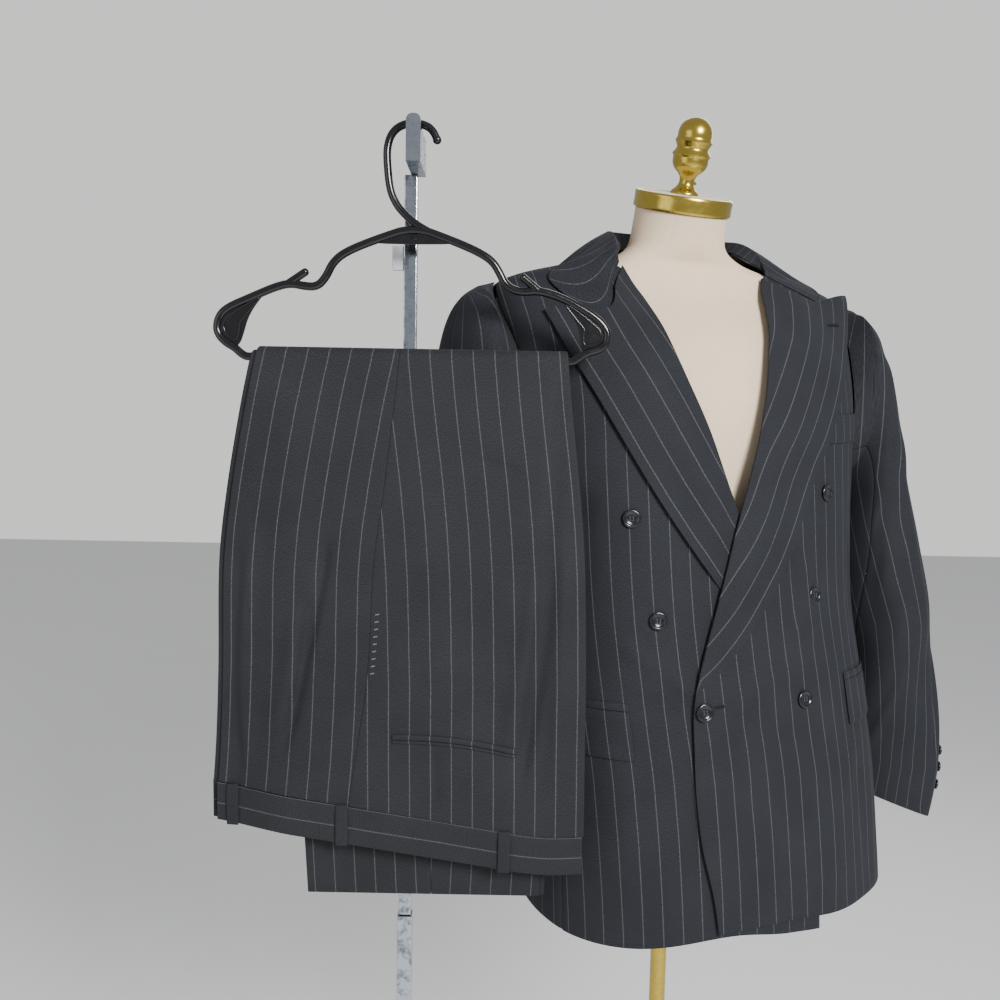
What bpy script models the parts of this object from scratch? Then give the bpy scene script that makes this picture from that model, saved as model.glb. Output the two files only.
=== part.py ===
"""Double-breasted pinstripe suit: the jacket worn by a dress form, the trousers folded over a hanger.

Metres, +Z up, floor at zero.  The origin is the middle of the underside of the form's round base.
The front of the set faces -Y.  The jacket and its form are turned by FORM_TURN about the origin, and
their own frame has x to the wearer's left, y to the back and z up.
"""
import math
from collections import namedtuple

import bmesh
import bpy
import numpy as np
from mathutils import Matrix, Vector

# ---------------------------------------------------------------- driving sizes
SUIT_WALL = 0.0015           # jacket cloth with its lining and canvas
TROUSER_WALL = 0.0012
SEAM = 0.00035               # gap between two cut pieces at a seam
LAY = 0.0004                 # gap under a piece that lies on another
PATCH_LAY = 0.00075          # the same under a pocket flap or welt, which spans several facets
BUTTON_LAY = 0.00055
FORM_TURN = math.radians(23.0)

BUTTON_RADIUS = 0.0105
CUFF_BUTTON_RADIUS = 0.0073
BUTTON_THICKNESS = 0.0034

BASE_RADIUS = 0.150
BASE_HEIGHT = 0.012
POLE_RADIUS = 0.0105
TORSO_BOTTOM = 0.870
NECK_LEAN = math.radians(16.0)
CAP_RADIUS = 0.0590
CAP_HEIGHT = 0.0205
CAP_CENTRE = (-0.021, -0.0235, 1.6275)     # underside of the cap, in the jacket's frame

STAND_X = -0.325
STAND_Y = -0.158
TUBE_WIDTH = 0.014
LOWER_TUBE_WIDTH = 0.017
LOWER_TUBE_TOP = 0.800
PLATE_SIZE = (0.200, 0.290, 0.010)
ARM_X = -0.3175
ARM_WIDTH = 0.0150
ARM_TOP = 1.6735
ARM_BOTTOM = 1.6370
ARM_TIP_Y = -0.2280
ARM_LIP_TOP = 1.6840
ARM_LIP_DEPTH = 0.0070

HANGER_Y = -0.207
WIRE_RADIUS = 0.0044
BAR_HEIGHT = 1.4375
WEB_THICKNESS = 0.0030

# ---------------------------------------------------------------- tables
Ring = namedtuple("Ring", "height half_width front back shift_x shift_y square")
BODY = [
    Ring(0.680, 0.243, 0.168, 0.142, 0.038, -0.035, 2.35),
    Ring(0.800, 0.241, 0.167, 0.141, 0.036, -0.033, 2.35),
    Ring(0.950, 0.236, 0.163, 0.136, 0.027, -0.026, 2.35),
    Ring(1.050, 0.232, 0.158, 0.128, 0.018, -0.017, 2.35),
    Ring(1.170, 0.229, 0.151, 0.118, 0.008, -0.008, 2.30),
    Ring(1.300, 0.240, 0.152, 0.125, 0.000, 0.000, 2.25),
    Ring(1.400, 0.247, 0.142, 0.132, -0.002, 0.002, 2.20),
    Ring(1.470, 0.251, 0.119, 0.124, -0.003, 0.006, 2.10),
    Ring(1.510, 0.252, 0.090, 0.108, -0.003, 0.008, 2.00),
    Ring(1.531, 0.246, 0.070, 0.095, -0.003, 0.008, 1.95),
    Ring(1.545, 0.216, 0.060, 0.084, -0.004, 0.006, 1.90),
    Ring(1.557, 0.168, 0.054, 0.074, -0.006, 0.003, 1.90),
    Ring(1.567, 0.126, 0.052, 0.067, -0.009, 0.000, 1.95),
    Ring(1.576, 0.098, 0.053, 0.062, -0.012, -0.002, 2.00),
    Ring(1.586, 0.082, 0.054, 0.058, -0.014, -0.004, 2.00),
]

HemPoint = namedtuple("HemPoint", "angle height")
HEM = [
    HemPoint(-180, 0.790), HemPoint(-125, 0.792), HemPoint(-85, 0.788), HemPoint(-57, 0.785),
    HemPoint(-35, 0.797), HemPoint(-20, 0.788), HemPoint(-8, 0.784), HemPoint(5, 0.799),
    HemPoint(25, 0.806), HemPoint(45, 0.798), HemPoint(90, 0.790), HemPoint(135, 0.787),
    HemPoint(180, 0.790),
]

# The seam round the armhole, from the shoulder point down the front, under the arm and up the back.
ArmPoint = namedtuple("ArmPoint", "angle height")
ARMHOLE = [
    ArmPoint(90.0, 1.531), ArmPoint(80.0, 1.505), ArmPoint(71.0, 1.460), ArmPoint(67.5, 1.410),
    ArmPoint(69.0, 1.360), ArmPoint(76.0, 1.322), ArmPoint(86.0, 1.305), ArmPoint(97.0, 1.303),
    ArmPoint(108.0, 1.318), ArmPoint(117.0, 1.355), ArmPoint(119.5, 1.405), ArmPoint(116.0, 1.455),
    ArmPoint(105.0, 1.503),
]
FRONT_SEAM_ANGLE = 72.0        # front to side body, below the armhole
BACK_SEAM_ANGLE = 114.0        # side body to back

# Frontal lines of the two fronts, as x and height in the jacket's frame.
Line = namedtuple("Line", "x height")
LEFT_ROLL = [Line(-0.073, 1.075), Line(-0.037, 1.190), Line(-0.015, 1.273), Line(0.014, 1.357),
             Line(0.043, 1.450), Line(0.068, 1.510), Line(0.086, 1.552)]
LEFT_EDGE = [Line(-0.044, 0.770), Line(-0.054, 0.841), Line(-0.070, 0.915), Line(-0.076, 1.000),
             Line(-0.073, 1.075)]
LEFT_LAPEL = [Line(-0.072, 1.075), Line(-0.040, 1.100), Line(-0.007, 1.135), Line(0.020, 1.172),
              Line(0.062, 1.240), Line(0.096, 1.312), Line(0.122, 1.354), Line(0.154, 1.408),
              Line(0.186, 1.456), Line(0.212, 1.500), Line(0.224, 1.5260)]
LEFT_GORGE = [Line(0.086, 1.552), Line(0.118, 1.536), Line(0.150, 1.522), Line(0.188, 1.524),
              Line(0.224, 1.5260)]
RIGHT_ROLL = [Line(0.079, 1.085), Line(0.031, 1.185), Line(-0.015, 1.273), Line(-0.050, 1.363),
              Line(-0.076, 1.430), Line(-0.098, 1.515), Line(-0.110, 1.555)]
RIGHT_EDGE = [Line(0.094, 0.770), Line(0.091, 0.880), Line(0.085, 0.990), Line(0.079, 1.085)]
RIGHT_LAPEL = [Line(0.077, 1.088), Line(0.018, 1.138), Line(-0.039, 1.192), Line(-0.102, 1.276),
               Line(-0.150, 1.357), Line(-0.193, 1.444), Line(-0.213, 1.4975)]
RIGHT_GORGE = [Line(-0.110, 1.555), Line(-0.128, 1.527), Line(-0.146, 1.4990), Line(-0.184, 1.5030),
               Line(-0.213, 1.4975)]

# How far the overlapping left front lies out over the right one, by distance past the right edge.
OVERLAP_LIFT = 0.0053
OVERLAP_EASE = 0.090

ButtonSpot = namedtuple("ButtonSpot", "name panel x height")
FRONT_BUTTONS = [
    ButtonSpot("button_right_top", "right", -0.140, 1.270),
    ButtonSpot("button_right_middle", "right", -0.110, 1.156),
    ButtonSpot("button_fastened", "left", -0.0625, 1.054),
    ButtonSpot("button_left_top", "left", 0.124, 1.294),
    ButtonSpot("button_left_middle", "left", 0.098, 1.174),
    ButtonSpot("button_left_bottom", "left", 0.071, 1.057),
]

# Half of the collar, from the middle of the back to the gorge: the seam on the neck edge as an angle and
# height on the body, the fold as a free point, the outer edge as an angle and height, and how far the
# middle of the fall dips below the straight line between them.
CollarRow = namedtuple("CollarRow", "seam_angle seam_z fold_x fold_y fold_z edge_angle edge_z dip")
COLLAR = [
    CollarRow(180, 1.5865, 0.000, 0.071, 1.613, 180, 1.5530, -0.003),
    CollarRow(150, 1.5865, 0.046, 0.061, 1.612, 152, 1.5530, -0.003),
    CollarRow(118, 1.5865, 0.080, 0.033, 1.607, 120, 1.5560, -0.003),
    CollarRow(88, 1.5865, 0.093, -0.003, 1.600, 89, 1.5600, -0.003),
    CollarRow(63, 1.5725, 0.101, -0.027, 1.584, 67, 1.5520, -0.001),
    CollarRow(42, 1.5580, 0.104, -0.040, 1.561, 46.5, 1.5120, 0.020),
]
COLLAR_MIDDLE = -0.010
COLLAR_CLEARANCE = 0.0036
LEFT_NOTCH_RAISE = 0.016       # the left gorge ends higher than the right one

# Sleeves: each section joins an outer and an inner point, is as deep as its fore and aft reach, and is
# turned about its own middle by the twist (degrees, the back of the sleeve towards the outside).
SleeveRow = namedtuple("SleeveRow", "outer_x outer_z inner_x inner_z mid_y fore aft twist")
LEFT_SLEEVE = [
    SleeveRow(0.266, 1.5260, 0.2500, 1.2960, 0.004, 0.078, 0.076, 0),
    SleeveRow(0.280, 1.5140, 0.2520, 1.2880, 0.004, 0.080, 0.078, 0),
    SleeveRow(0.293, 1.4920, 0.2540, 1.2740, 0.003, 0.081, 0.079, 0),
    SleeveRow(0.306, 1.4530, 0.2550, 1.2500, 0.002, 0.081, 0.080, 0),
    SleeveRow(0.318, 1.3950, 0.2555, 1.2150, -0.002, 0.078, 0.078, 4),
    SleeveRow(0.335, 1.3200, 0.2590, 1.1750, -0.008, 0.074, 0.074, 12),
    SleeveRow(0.361, 1.2300, 0.2670, 1.1250, -0.018, 0.067, 0.067, 32),
    SleeveRow(0.384, 1.1400, 0.2870, 1.0700, -0.028, 0.063, 0.063, 62),
    SleeveRow(0.387, 1.0500, 0.3010, 1.0100, -0.033, 0.065, 0.065, 90),
    SleeveRow(0.386, 0.9700, 0.3060, 0.9500, -0.036, 0.067, 0.067, 112),
    SleeveRow(0.381, 0.9000, 0.3060, 0.9050, -0.037, 0.067, 0.067, 125),
    SleeveRow(0.370, 0.8350, 0.2980, 0.8640, -0.038, 0.066, 0.066, 130),
]
RIGHT_SLEEVE = [
    SleeveRow(0.272, 1.5270, 0.2500, 1.2960, 0.004, 0.078, 0.076, 0),
    SleeveRow(0.290, 1.5150, 0.2520, 1.2880, 0.004, 0.080, 0.078, 0),
    SleeveRow(0.303, 1.4940, 0.2540, 1.2740, 0.003, 0.081, 0.079, 0),
    SleeveRow(0.313, 1.4550, 0.2550, 1.2500, 0.002, 0.081, 0.080, 0),
    SleeveRow(0.319, 1.3950, 0.2555, 1.2150, 0.008, 0.078, 0.080, 0),
    SleeveRow(0.322, 1.3200, 0.2560, 1.1750, 0.016, 0.074, 0.078, 5),
    SleeveRow(0.323, 1.2300, 0.2540, 1.1250, 0.024, 0.070, 0.074, 10),
    SleeveRow(0.322, 1.1400, 0.2510, 1.0700, 0.028, 0.068, 0.070, 15),
    SleeveRow(0.317, 1.0550, 0.2480, 1.0100, 0.028, 0.066, 0.068, 20),
    SleeveRow(0.308, 0.9700, 0.2420, 0.9500, 0.026, 0.065, 0.067, 25),
    SleeveRow(0.302, 0.9100, 0.2380, 0.9100, 0.022, 0.064, 0.066, 30),
    SleeveRow(0.298, 0.8550, 0.2350, 0.8700, 0.018, 0.063, 0.065, 30),
]
ARMHOLE_LAY = 0.0021           # from the body's cloth to the start of the sleeve's inner face
SLEEVE_FRONT_SEAM = 125.0      # degrees round the sleeve from its outside towards its front
SLEEVE_BACK_SEAM = 250.0
UPPER_COLUMNS = 9
SLEEVE_RADIUS = 0.055          # mean radius, to turn a seam's gap into an angle

# Pocket flaps: where one starts, its width along the cloth (minus towards the right), the height of its top
# edge, its drop and the slant of its edges.  The breast welt is a range of x, a range of height and a slant.
Flap = namedtuple("Flap", "start_x width top drop slant")
RIGHT_FLAP = Flap(-0.142, -0.150, 1.0540, 0.0540, 0.004)
LEFT_FLAP = Flap(0.150, 0.150, 1.0660, 0.0530, -0.006)
JET_HEIGHT = 0.0090
JET_WALL = 0.0010
BREAST_WELT = (0.112, 0.213, 1.351, 1.385, 0.003)

# Trousers: edges of the folded legs and the side seam by height on the front drop.
LegRow = namedtuple("LegRow", "height left seam right swell")
FRONT_DROP = [
    LegRow(1.4490, -0.479, -0.330, -0.155, 0.0000),
    LegRow(1.3880, -0.492, -0.336, -0.149, 0.0010),
    LegRow(1.3000, -0.507, -0.346, -0.138, 0.0025),
    LegRow(1.2200, -0.516, -0.356, -0.131, 0.0040),
    LegRow(1.1100, -0.518, -0.361, -0.127, 0.0060),
    LegRow(1.0300, -0.521, -0.371, -0.126, 0.0080),
    LegRow(0.9600, -0.526, -0.381, -0.125, 0.0100),
    LegRow(0.8800, -0.533, -0.388, -0.124, 0.0110),
]
BACK_DROP = [
    LegRow(1.4490, -0.479, -0.330, -0.155, 0.0000),
    LegRow(1.3400, -0.474, -0.322, -0.152, 0.0010),
    LegRow(1.1500, -0.452, -0.305, -0.154, 0.0015),
    LegRow(0.9800, -0.433, -0.292, -0.160, 0.0010),
    LegRow(0.8470, -0.424, -0.286, -0.166, 0.0000),
]
LEG_DEPTH = 0.0032             # a folded leg, face to face
LEG_LAY = 0.0005               # between the two legs, and between the legs and the bar
WAIST_SEAM = [Line(-0.530, 0.9790), Line(-0.390, 0.9580), Line(-0.238, 0.9350), Line(-0.165, 0.9230),
              Line(-0.124, 0.9230)]
WAISTBAND = 0.0420
LEFT_LEG_SHIFT = -0.006
CROTCH_DROP = 0.250            # from the waist seam to the fork

# ---------------------------------------------------------------- curves through table rows
def spline(rows, at):
    """Smooth value of every column of a table at row number `at` (Catmull-Rom)."""
    table = np.array(rows, dtype=float)
    at = min(max(at, 0.0), len(table) - 1.0)
    i = min(int(at), len(table) - 2)
    t = at - i
    p0 = table[max(i - 1, 0)]
    p1 = table[i]
    p2 = table[i + 1]
    p3 = table[min(i + 2, len(table) - 1)]
    return 0.5 * (2 * p1 + (p2 - p0) * t + (2 * p0 - 5 * p1 + 4 * p2 - p3) * t ** 2
                  + (3 * p1 - p0 - 3 * p2 + p3) * t ** 3)


def sampled(rows, steps=16):
    return np.array([spline(rows, i / steps) for i in range((len(rows) - 1) * steps + 1)])


def lookup(samples, key, value):
    """Read a sampled table by one of its columns, which may run either way."""
    if samples[0, key] > samples[-1, key]:
        samples = samples[::-1]
    return lambda at: float(np.interp(at, samples[:, key], samples[:, value]))


def ease(t):
    t = min(max(t, 0.0), 1.0)
    return t * t * (3 - 2 * t)


# ---------------------------------------------------------------- the jacket's body surface
class Body:
    """The outer face of the jacket's body: super-elliptic rings stacked by height."""

    STEP = 1.0                                   # degrees between the points kept on a ring

    def __init__(self):
        self.table = sampled(BODY)
        self.rings = {}
        self.angles = np.arange(-180, 180 + self.STEP, self.STEP)

    def ring(self, height):
        key = round(height, 5)
        if key not in self.rings:
            row = [float(np.interp(height, self.table[:, 0], self.table[:, c])) for c in range(1, 7)]
            half_width, front, back, shift_x, shift_y, square = row
            turn = np.radians(self.angles)
            side = np.sin(turn)
            fore = -np.cos(turn)
            x = half_width * np.sign(side) * np.abs(side) ** (2 / square)
            y = np.where(fore < 0, front, back) * np.sign(fore) * np.abs(fore) ** (2 / square)
            arc = np.concatenate([[0], np.cumsum(np.hypot(np.diff(x), np.diff(y)))])
            arc -= arc[len(arc) // 2]
            self.rings[key] = (x + shift_x, y + shift_y, arc)
        return self.rings[key]

    def face(self, angle, height):
        x, y, _ = self.ring(height)
        wrapped = (angle + 180) % 360 - 180
        return np.array([np.interp(wrapped, self.angles, x), np.interp(wrapped, self.angles, y), height])

    def point(self, angle, height, out=0.0):
        """A point on the surface, `out` metres outside it."""
        spot = self.face(angle, height)
        if not out:
            return spot
        across = self.face(angle + 2.0, height) - self.face(angle - 2.0, height)
        up = self.face(angle, height + 0.003) - self.face(angle, height - 0.003)
        normal = np.cross(across, up)
        return spot + normal / np.linalg.norm(normal) * out

    def arc(self, angle, height):
        return float(np.interp(angle, self.angles, self.ring(height)[2]))

    def angle_at_arc(self, arc, height):
        return float(np.interp(arc, self.ring(height)[2], self.angles))

    def angle_at_x(self, x, height):
        """The angle, on the front half, of the point with the frontal coordinate x."""
        xs = self.ring(height)[0]
        front = (self.angles >= -90) & (self.angles <= 90)
        return float(np.interp(x, xs[front], self.angles[front]))

    def shift(self, angle, height, along):
        """The angle reached by moving `along` metres round the ring."""
        return self.angle_at_arc(self.arc(angle, height) + along, height)


BODY_FACE = Body()
hem_height = lookup(sampled(HEM), 0, 1)


def armhole_loop(turn):
    """Angle and height on the left armhole, for a turn of 0 to 1 from the shoulder point to the front."""
    closed = ARMHOLE[-2:] + ARMHOLE + ARMHOLE[:3]
    return spline(closed, 2 + (turn % 1.0) * len(ARMHOLE))


ARM_LOOP = np.array([armhole_loop(i / 120) for i in range(121)])
LOWEST = int(ARM_LOOP[:, 1].argmin())
armhole_front = lookup(ARM_LOOP[:LOWEST + 1], 1, 0)
armhole_back = lookup(ARM_LOOP[LOWEST:], 1, 0)
UNDER_SPAN = 22                # loop points on either side of the lowest that the side panels may reach
armhole_under = lookup(ARM_LOOP[LOWEST - UNDER_SPAN:LOWEST + UNDER_SPAN], 0, 1)
SHOULDER_POINT = ARMHOLE[0].height
NECK_TOP = BODY[-1].height

# ---------------------------------------------------------------- scene helpers
suit = bpy.data.collections.new("two_piece_suit")


def clear_scene():
    for old in list(bpy.data.objects):
        bpy.data.objects.remove(old, do_unlink=True)
    bpy.context.scene.collection.children.link(suit)


def make_material(name, colour, roughness, metallic=0.0):
    material = bpy.data.materials.new(name)
    material.use_nodes = True
    shader = material.node_tree.nodes["Principled BSDF"]
    shader.inputs["Base Color"].default_value = (*colour, 1)
    shader.inputs["Roughness"].default_value = roughness
    shader.inputs["Metallic"].default_value = metallic
    return material


FINISHES = {
    "wool": ((0.040, 0.045, 0.058), 0.85, 0.0),
    "trouser_wool": ((0.046, 0.050, 0.060), 0.85, 0.0),
    "linen": ((0.72, 0.60, 0.47), 0.80, 0.0),
    "gold": ((0.62, 0.45, 0.10), 0.30, 1.0),
    "chrome": ((0.75, 0.77, 0.80), 0.12, 1.0),
    "plastic": ((0.010, 0.010, 0.011), 0.25, 0.0),
    "button": ((0.010, 0.012, 0.020), 0.22, 0.0),
}


def add_object(name, mesh, finish, parent=None):
    thing = bpy.data.objects.new(name, mesh)
    colour, roughness, metallic = FINISHES[finish]
    mesh.materials.clear()
    mesh.materials.append(make_material(name, colour, roughness, metallic))
    suit.objects.link(thing)
    thing.parent = parent
    return thing


def finish_mesh(bm, name):
    mesh = bpy.data.meshes.new(name)
    bm.to_mesh(mesh)
    bm.free()
    mesh.shade_smooth()
    mesh.set_sharp_from_angle(angle=math.radians(40))
    return mesh


def face_outwards(bm):
    """Turn every face of a closed mesh outwards; the sign of its volume tells which way that is."""
    bmesh.ops.recalc_face_normals(bm, faces=bm.faces)
    if bm.calc_volume(signed=True) < 0:
        bmesh.ops.reverse_faces(bm, faces=bm.faces[:])


def shell(name, point, columns, rows, wall, finish, parent=None):
    """A cloth wall.  point(a, b, inset) gives its outer face at inset 0 and its inner face at inset wall,
    with a and b running from 0 to 1 over the cut piece."""
    bm = bmesh.new()
    bmesh.ops.create_grid(bm, x_segments=columns, y_segments=rows, size=0.5)
    outer = list(bm.verts)
    twin = bmesh.ops.duplicate(bm, geom=bm.verts[:] + bm.edges[:] + bm.faces[:])["geom"]
    inner = [item for item in twin if isinstance(item, bmesh.types.BMVert)]
    inner_faces = [item for item in twin if isinstance(item, bmesh.types.BMFace)]
    bmesh.ops.reverse_faces(bm, faces=inner_faces)
    for vertex in inner:
        vertex.co.z = -0.001
    rim = [edge for edge in bm.edges if edge.is_boundary]
    bmesh.ops.bridge_loops(bm, edges=rim)
    for vertices, inset in ((outer, 0.0), (inner, wall)):
        for vertex in vertices:
            vertex.co = Vector(point(vertex.co.x + 0.5, vertex.co.y + 0.5, inset))
    face_outwards(bm)
    return add_object(name, finish_mesh(bm, name), finish, parent)


def turned(name, profile, steps, finish, parent=None):
    """A turned solid: the profile is (radius, height) from its top to its bottom, closed at the axis."""
    bm = bmesh.new()
    vertices = [bm.verts.new((radius, 0, height)) for radius, height in profile]
    for first, second in zip(vertices, vertices[1:]):
        bm.edges.new((first, second))
    mesh = bpy.data.meshes.new(name)
    bm.to_mesh(mesh)
    bm.free()
    thing = add_object(name, mesh, finish, parent)
    screw = thing.modifiers.new("turn", "SCREW")
    screw.steps = steps
    screw.render_steps = steps
    screw.use_merge_vertices = True
    screw.merge_threshold = 0.00005
    screw.use_smooth_shade = True
    return thing


def block(name, low, high, bevel, finish, parent=None):
    """A box between two corners, with its edges rounded."""
    bm = bmesh.new()
    bmesh.ops.create_cube(bm, size=1.0)
    low = Vector(low)
    high = Vector(high)
    for vertex in bm.verts:
        vertex.co = Vector(low[i] + (vertex.co[i] + 0.5) * (high[i] - low[i]) for i in range(3))
    if bevel:
        bmesh.ops.bevel(bm, geom=bm.edges[:], offset=bevel, segments=2, affect="EDGES", profile=0.5,
                        material=-1)
    return add_object(name, finish_mesh(bm, name), finish, parent)


# ---------------------------------------------------------------- dress form
FormRow = namedtuple("FormRow", "height inset")
FORM_INSET = [
    FormRow(0.8700, 0.0300), FormRow(1.0500, 0.0290), FormRow(1.1700, 0.0220), FormRow(1.3500, 0.0190),
    FormRow(1.4600, 0.0120), FormRow(1.5000, 0.0100), FormRow(1.5250, 0.0090), FormRow(1.5400, 0.0060),
    FormRow(1.5570, 0.0032),
]
NeckRow = namedtuple("NeckRow", "height half_width front back shift_x shift_y")
FORM_NECK = [
    NeckRow(1.5640, 0.112, 0.048, 0.060, -0.010, 0.000),
    NeckRow(1.5720, 0.084, 0.050, 0.056, -0.014, -0.004),
    NeckRow(1.5820, 0.066, 0.052, 0.052, -0.018, -0.009),
    NeckRow(1.5950, 0.059, 0.053, 0.053, -0.020, -0.0145),
]


def make_form(frame):
    inset_at = lookup(np.array(FORM_INSET), 0, 1)
    heights = [TORSO_BOTTOM, 0.900, 0.960, 1.030, 1.100, 1.170, 1.240, 1.310, 1.380, 1.430, 1.470, 1.500,
               1.520, 1.533, 1.545, 1.556]
    bm = bmesh.new()
    levels = len(heights) + len(FORM_NECK) + 1
    bmesh.ops.create_uvsphere(bm, u_segments=32, v_segments=levels + 1, radius=1.0)
    cap_frame = neck_frame()
    for vertex in bm.verts:
        latitude = math.asin(max(-1.0, min(1.0, vertex.co.z)))
        level = round((latitude / math.pi + 0.5) * (levels + 1)) - 1
        angle = math.degrees(math.atan2(vertex.co.x, -vertex.co.y))
        turn = math.radians(angle)
        if level < 0:
            vertex.co = (0.0, -0.005, TORSO_BOTTOM)
        elif level < len(heights):
            height = heights[level]
            vertex.co = Vector(BODY_FACE.point(angle, height, -inset_at(height)))
        elif level < levels - 1:
            row = FORM_NECK[level - len(heights)]
            deep = row.front if abs(angle) < 90 else row.back
            vertex.co = (row.half_width * math.sin(turn) + row.shift_x,
                         -deep * math.cos(turn) + row.shift_y, row.height)
        elif level == levels - 1:
            rim = CAP_RADIUS - 0.0035
            vertex.co = cap_frame @ Vector((rim * math.sin(turn), -rim * math.cos(turn), -LAY))
        else:
            vertex.co = cap_frame @ Vector((0, 0, -LAY))
    face_outwards(bm)
    add_object("form_torso", finish_mesh(bm, "form_torso"), "linen", frame)


def neck_frame():
    """The neck's own frame: its origin is under the cap and its z leans forward."""
    return Matrix.Translation(CAP_CENTRE) @ Matrix.Rotation(NECK_LEAN, 4, "X")


def make_cap_and_finial(frame):
    top = CAP_HEIGHT
    edge = 0.0015
    cap = turned("form_neck_cap", [
        (0.0, top), (CAP_RADIUS - edge, top), (CAP_RADIUS, top - edge), (CAP_RADIUS, edge),
        (CAP_RADIUS - edge, 0.0), (0.0, 0.0)], 40, "gold", frame)
    cap.matrix_local = neck_frame()
    foot = top + LAY
    profile = [(0.0, 0.0870), (0.0090, 0.0850), (0.0160, 0.0795), (0.0198, 0.0710), (0.0202, 0.0640),
               (0.0224, 0.0600), (0.0210, 0.0560), (0.0190, 0.0525), (0.0205, 0.0490), (0.0232, 0.0450),
               (0.0215, 0.0415), (0.0212, 0.0360), (0.0190, 0.0290), (0.0130, 0.0235), (0.0095, 0.0190),
               (0.0090, 0.0120), (0.0120, 0.0070), (0.0160, 0.0040), (0.0170, 0.0), (0.0, 0.0)]
    finial = turned("form_finial", [(r, z + foot) for r, z in profile], 14, "gold", frame)
    finial.matrix_local = neck_frame()


def make_pole_and_base():
    turned("form_pole", [(0.0, TORSO_BOTTOM - LAY), (POLE_RADIUS, TORSO_BOTTOM - LAY),
                         (POLE_RADIUS, BASE_HEIGHT + 0.030 + LAY), (0.0, BASE_HEIGHT + 0.030 + LAY)],
           20, "gold")
    rise = BASE_HEIGHT
    turned("form_base", [(0.0, rise + 0.030), (0.022, rise + 0.030), (0.026, rise + 0.024),
                         (0.026, rise + 0.010), (0.034, rise + 0.004), (0.120, rise), (0.145, rise - 0.003),
                         (BASE_RADIUS, rise - 0.008), (BASE_RADIUS, 0.0), (0.0, 0.0)], 48, "gold")


# ---------------------------------------------------------------- stand and hanger
def make_stand():
    half = TUBE_WIDTH / 2
    low = LOWER_TUBE_WIDTH / 2
    x, y = STAND_X, STAND_Y
    width, length, plate = PLATE_SIZE
    block("stand_base", (x - width / 2, y - length / 2, 0), (x + width / 2, y + length / 2, plate), 0.002,
          "chrome")
    block("stand_lower_tube", (x - low, y - low, plate + LAY), (x + low, y + low, LOWER_TUBE_TOP), 0.001,
          "chrome")
    block("stand_upright", (x - half, y - half, LOWER_TUBE_TOP + LAY),
          (x + half, y + half, ARM_BOTTOM - LAY), 0.001, "chrome")
    block("stand_bracket", (x - 0.0200, y - 0.004, 1.536), (x - half - LAY, y + 0.004, 1.562), 0.001,
          "chrome")
    make_arm()


def make_arm():
    """The arm that the hook hangs on: a bar with a rounded back and a taller rounded lip at its tip."""
    half = ARM_WIDTH / 2
    bm = bmesh.new()
    bmesh.ops.create_cube(bm, size=1.0)
    back = STAND_Y + TUBE_WIDTH / 2
    lip_y = ARM_TIP_Y + ARM_LIP_DEPTH
    for vertex in bm.verts:
        vertex.co = Vector((ARM_X + vertex.co.x * ARM_WIDTH,
                            ARM_TIP_Y if vertex.co.y < 0 else back,
                            ARM_TOP if vertex.co.z > 0 else ARM_BOTTOM))
    bmesh.ops.bisect_plane(bm, geom=bm.verts[:] + bm.edges[:] + bm.faces[:], plane_co=(0, lip_y, 0),
                           plane_no=(0, 1, 0), clear_inner=False, clear_outer=False)
    top = [face for face in bm.faces
           if face.normal.z > 0.9 and face.calc_center_median().y < lip_y]
    raised = bmesh.ops.extrude_face_region(bm, geom=top)["geom"]
    lifted = [item for item in raised if isinstance(item, bmesh.types.BMVert)]
    bmesh.ops.delete(bm, geom=top, context="FACES_ONLY")
    bmesh.ops.translate(bm, verts=lifted, vec=(0, 0, ARM_LIP_TOP - ARM_TOP))
    touch = 1e-5
    top_edges = [edge for edge in bm.edges if all(v.co.z > ARM_LIP_TOP - touch for v in edge.verts)]
    crown = [edge for edge in top_edges if abs(edge.verts[0].co.x - edge.verts[1].co.x) < touch]
    bmesh.ops.bevel(bm, geom=crown, offset=half * 0.85, segments=4, affect="EDGES", profile=0.5, material=-1)
    bmesh.ops.recalc_face_normals(bm, faces=bm.faces)
    add_object("stand_arm", finish_mesh(bm, "stand_arm"), "chrome")


HANGER_FRAME = [
    (-0.317, 1.575), (-0.276, 1.561), (-0.249, 1.550), (-0.235, 1.541), (-0.228, 1.530), (-0.222, 1.518),
    (-0.213, 1.512), (-0.202, 1.510), (-0.187, 1.512), (-0.165, 1.506), (-0.146, 1.497), (-0.124, 1.484),
    (-0.113, 1.471), (-0.114, 1.459), (-0.122, 1.4515), (-0.136, 1.4480), (-0.146, 1.4400),
    (-0.153, BAR_HEIGHT), (-0.317, BAR_HEIGHT), (-0.490, BAR_HEIGHT), (-0.497, 1.4400), (-0.505, 1.4475),
    (-0.513, 1.4515), (-0.521, 1.4590), (-0.524, 1.468), (-0.521, 1.480), (-0.512, 1.489),
    (-0.487, 1.500), (-0.462, 1.511), (-0.446, 1.515), (-0.431, 1.512), (-0.418, 1.512), (-0.409, 1.522),
    (-0.402, 1.537), (-0.389, 1.548), (-0.358, 1.561),
]
HANGER_HOOK = [
    (-0.2945, 1.663), (-0.298, 1.671), (-0.305, 1.677), (-0.319, 1.680), (-0.333, 1.6765), (-0.342, 1.668),
    (-0.346, 1.655), (-0.346, 1.640), (-0.343, 1.612), (-0.336, 1.597), (-0.327, 1.587), (-0.315, 1.577),
    (-0.300, 1.569),
]
HANGER_TIPS = [
    [(-0.187, 1.512), (-0.203, 1.525)],
    [(-0.448, 1.515), (-0.431, 1.5265)],
]
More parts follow.
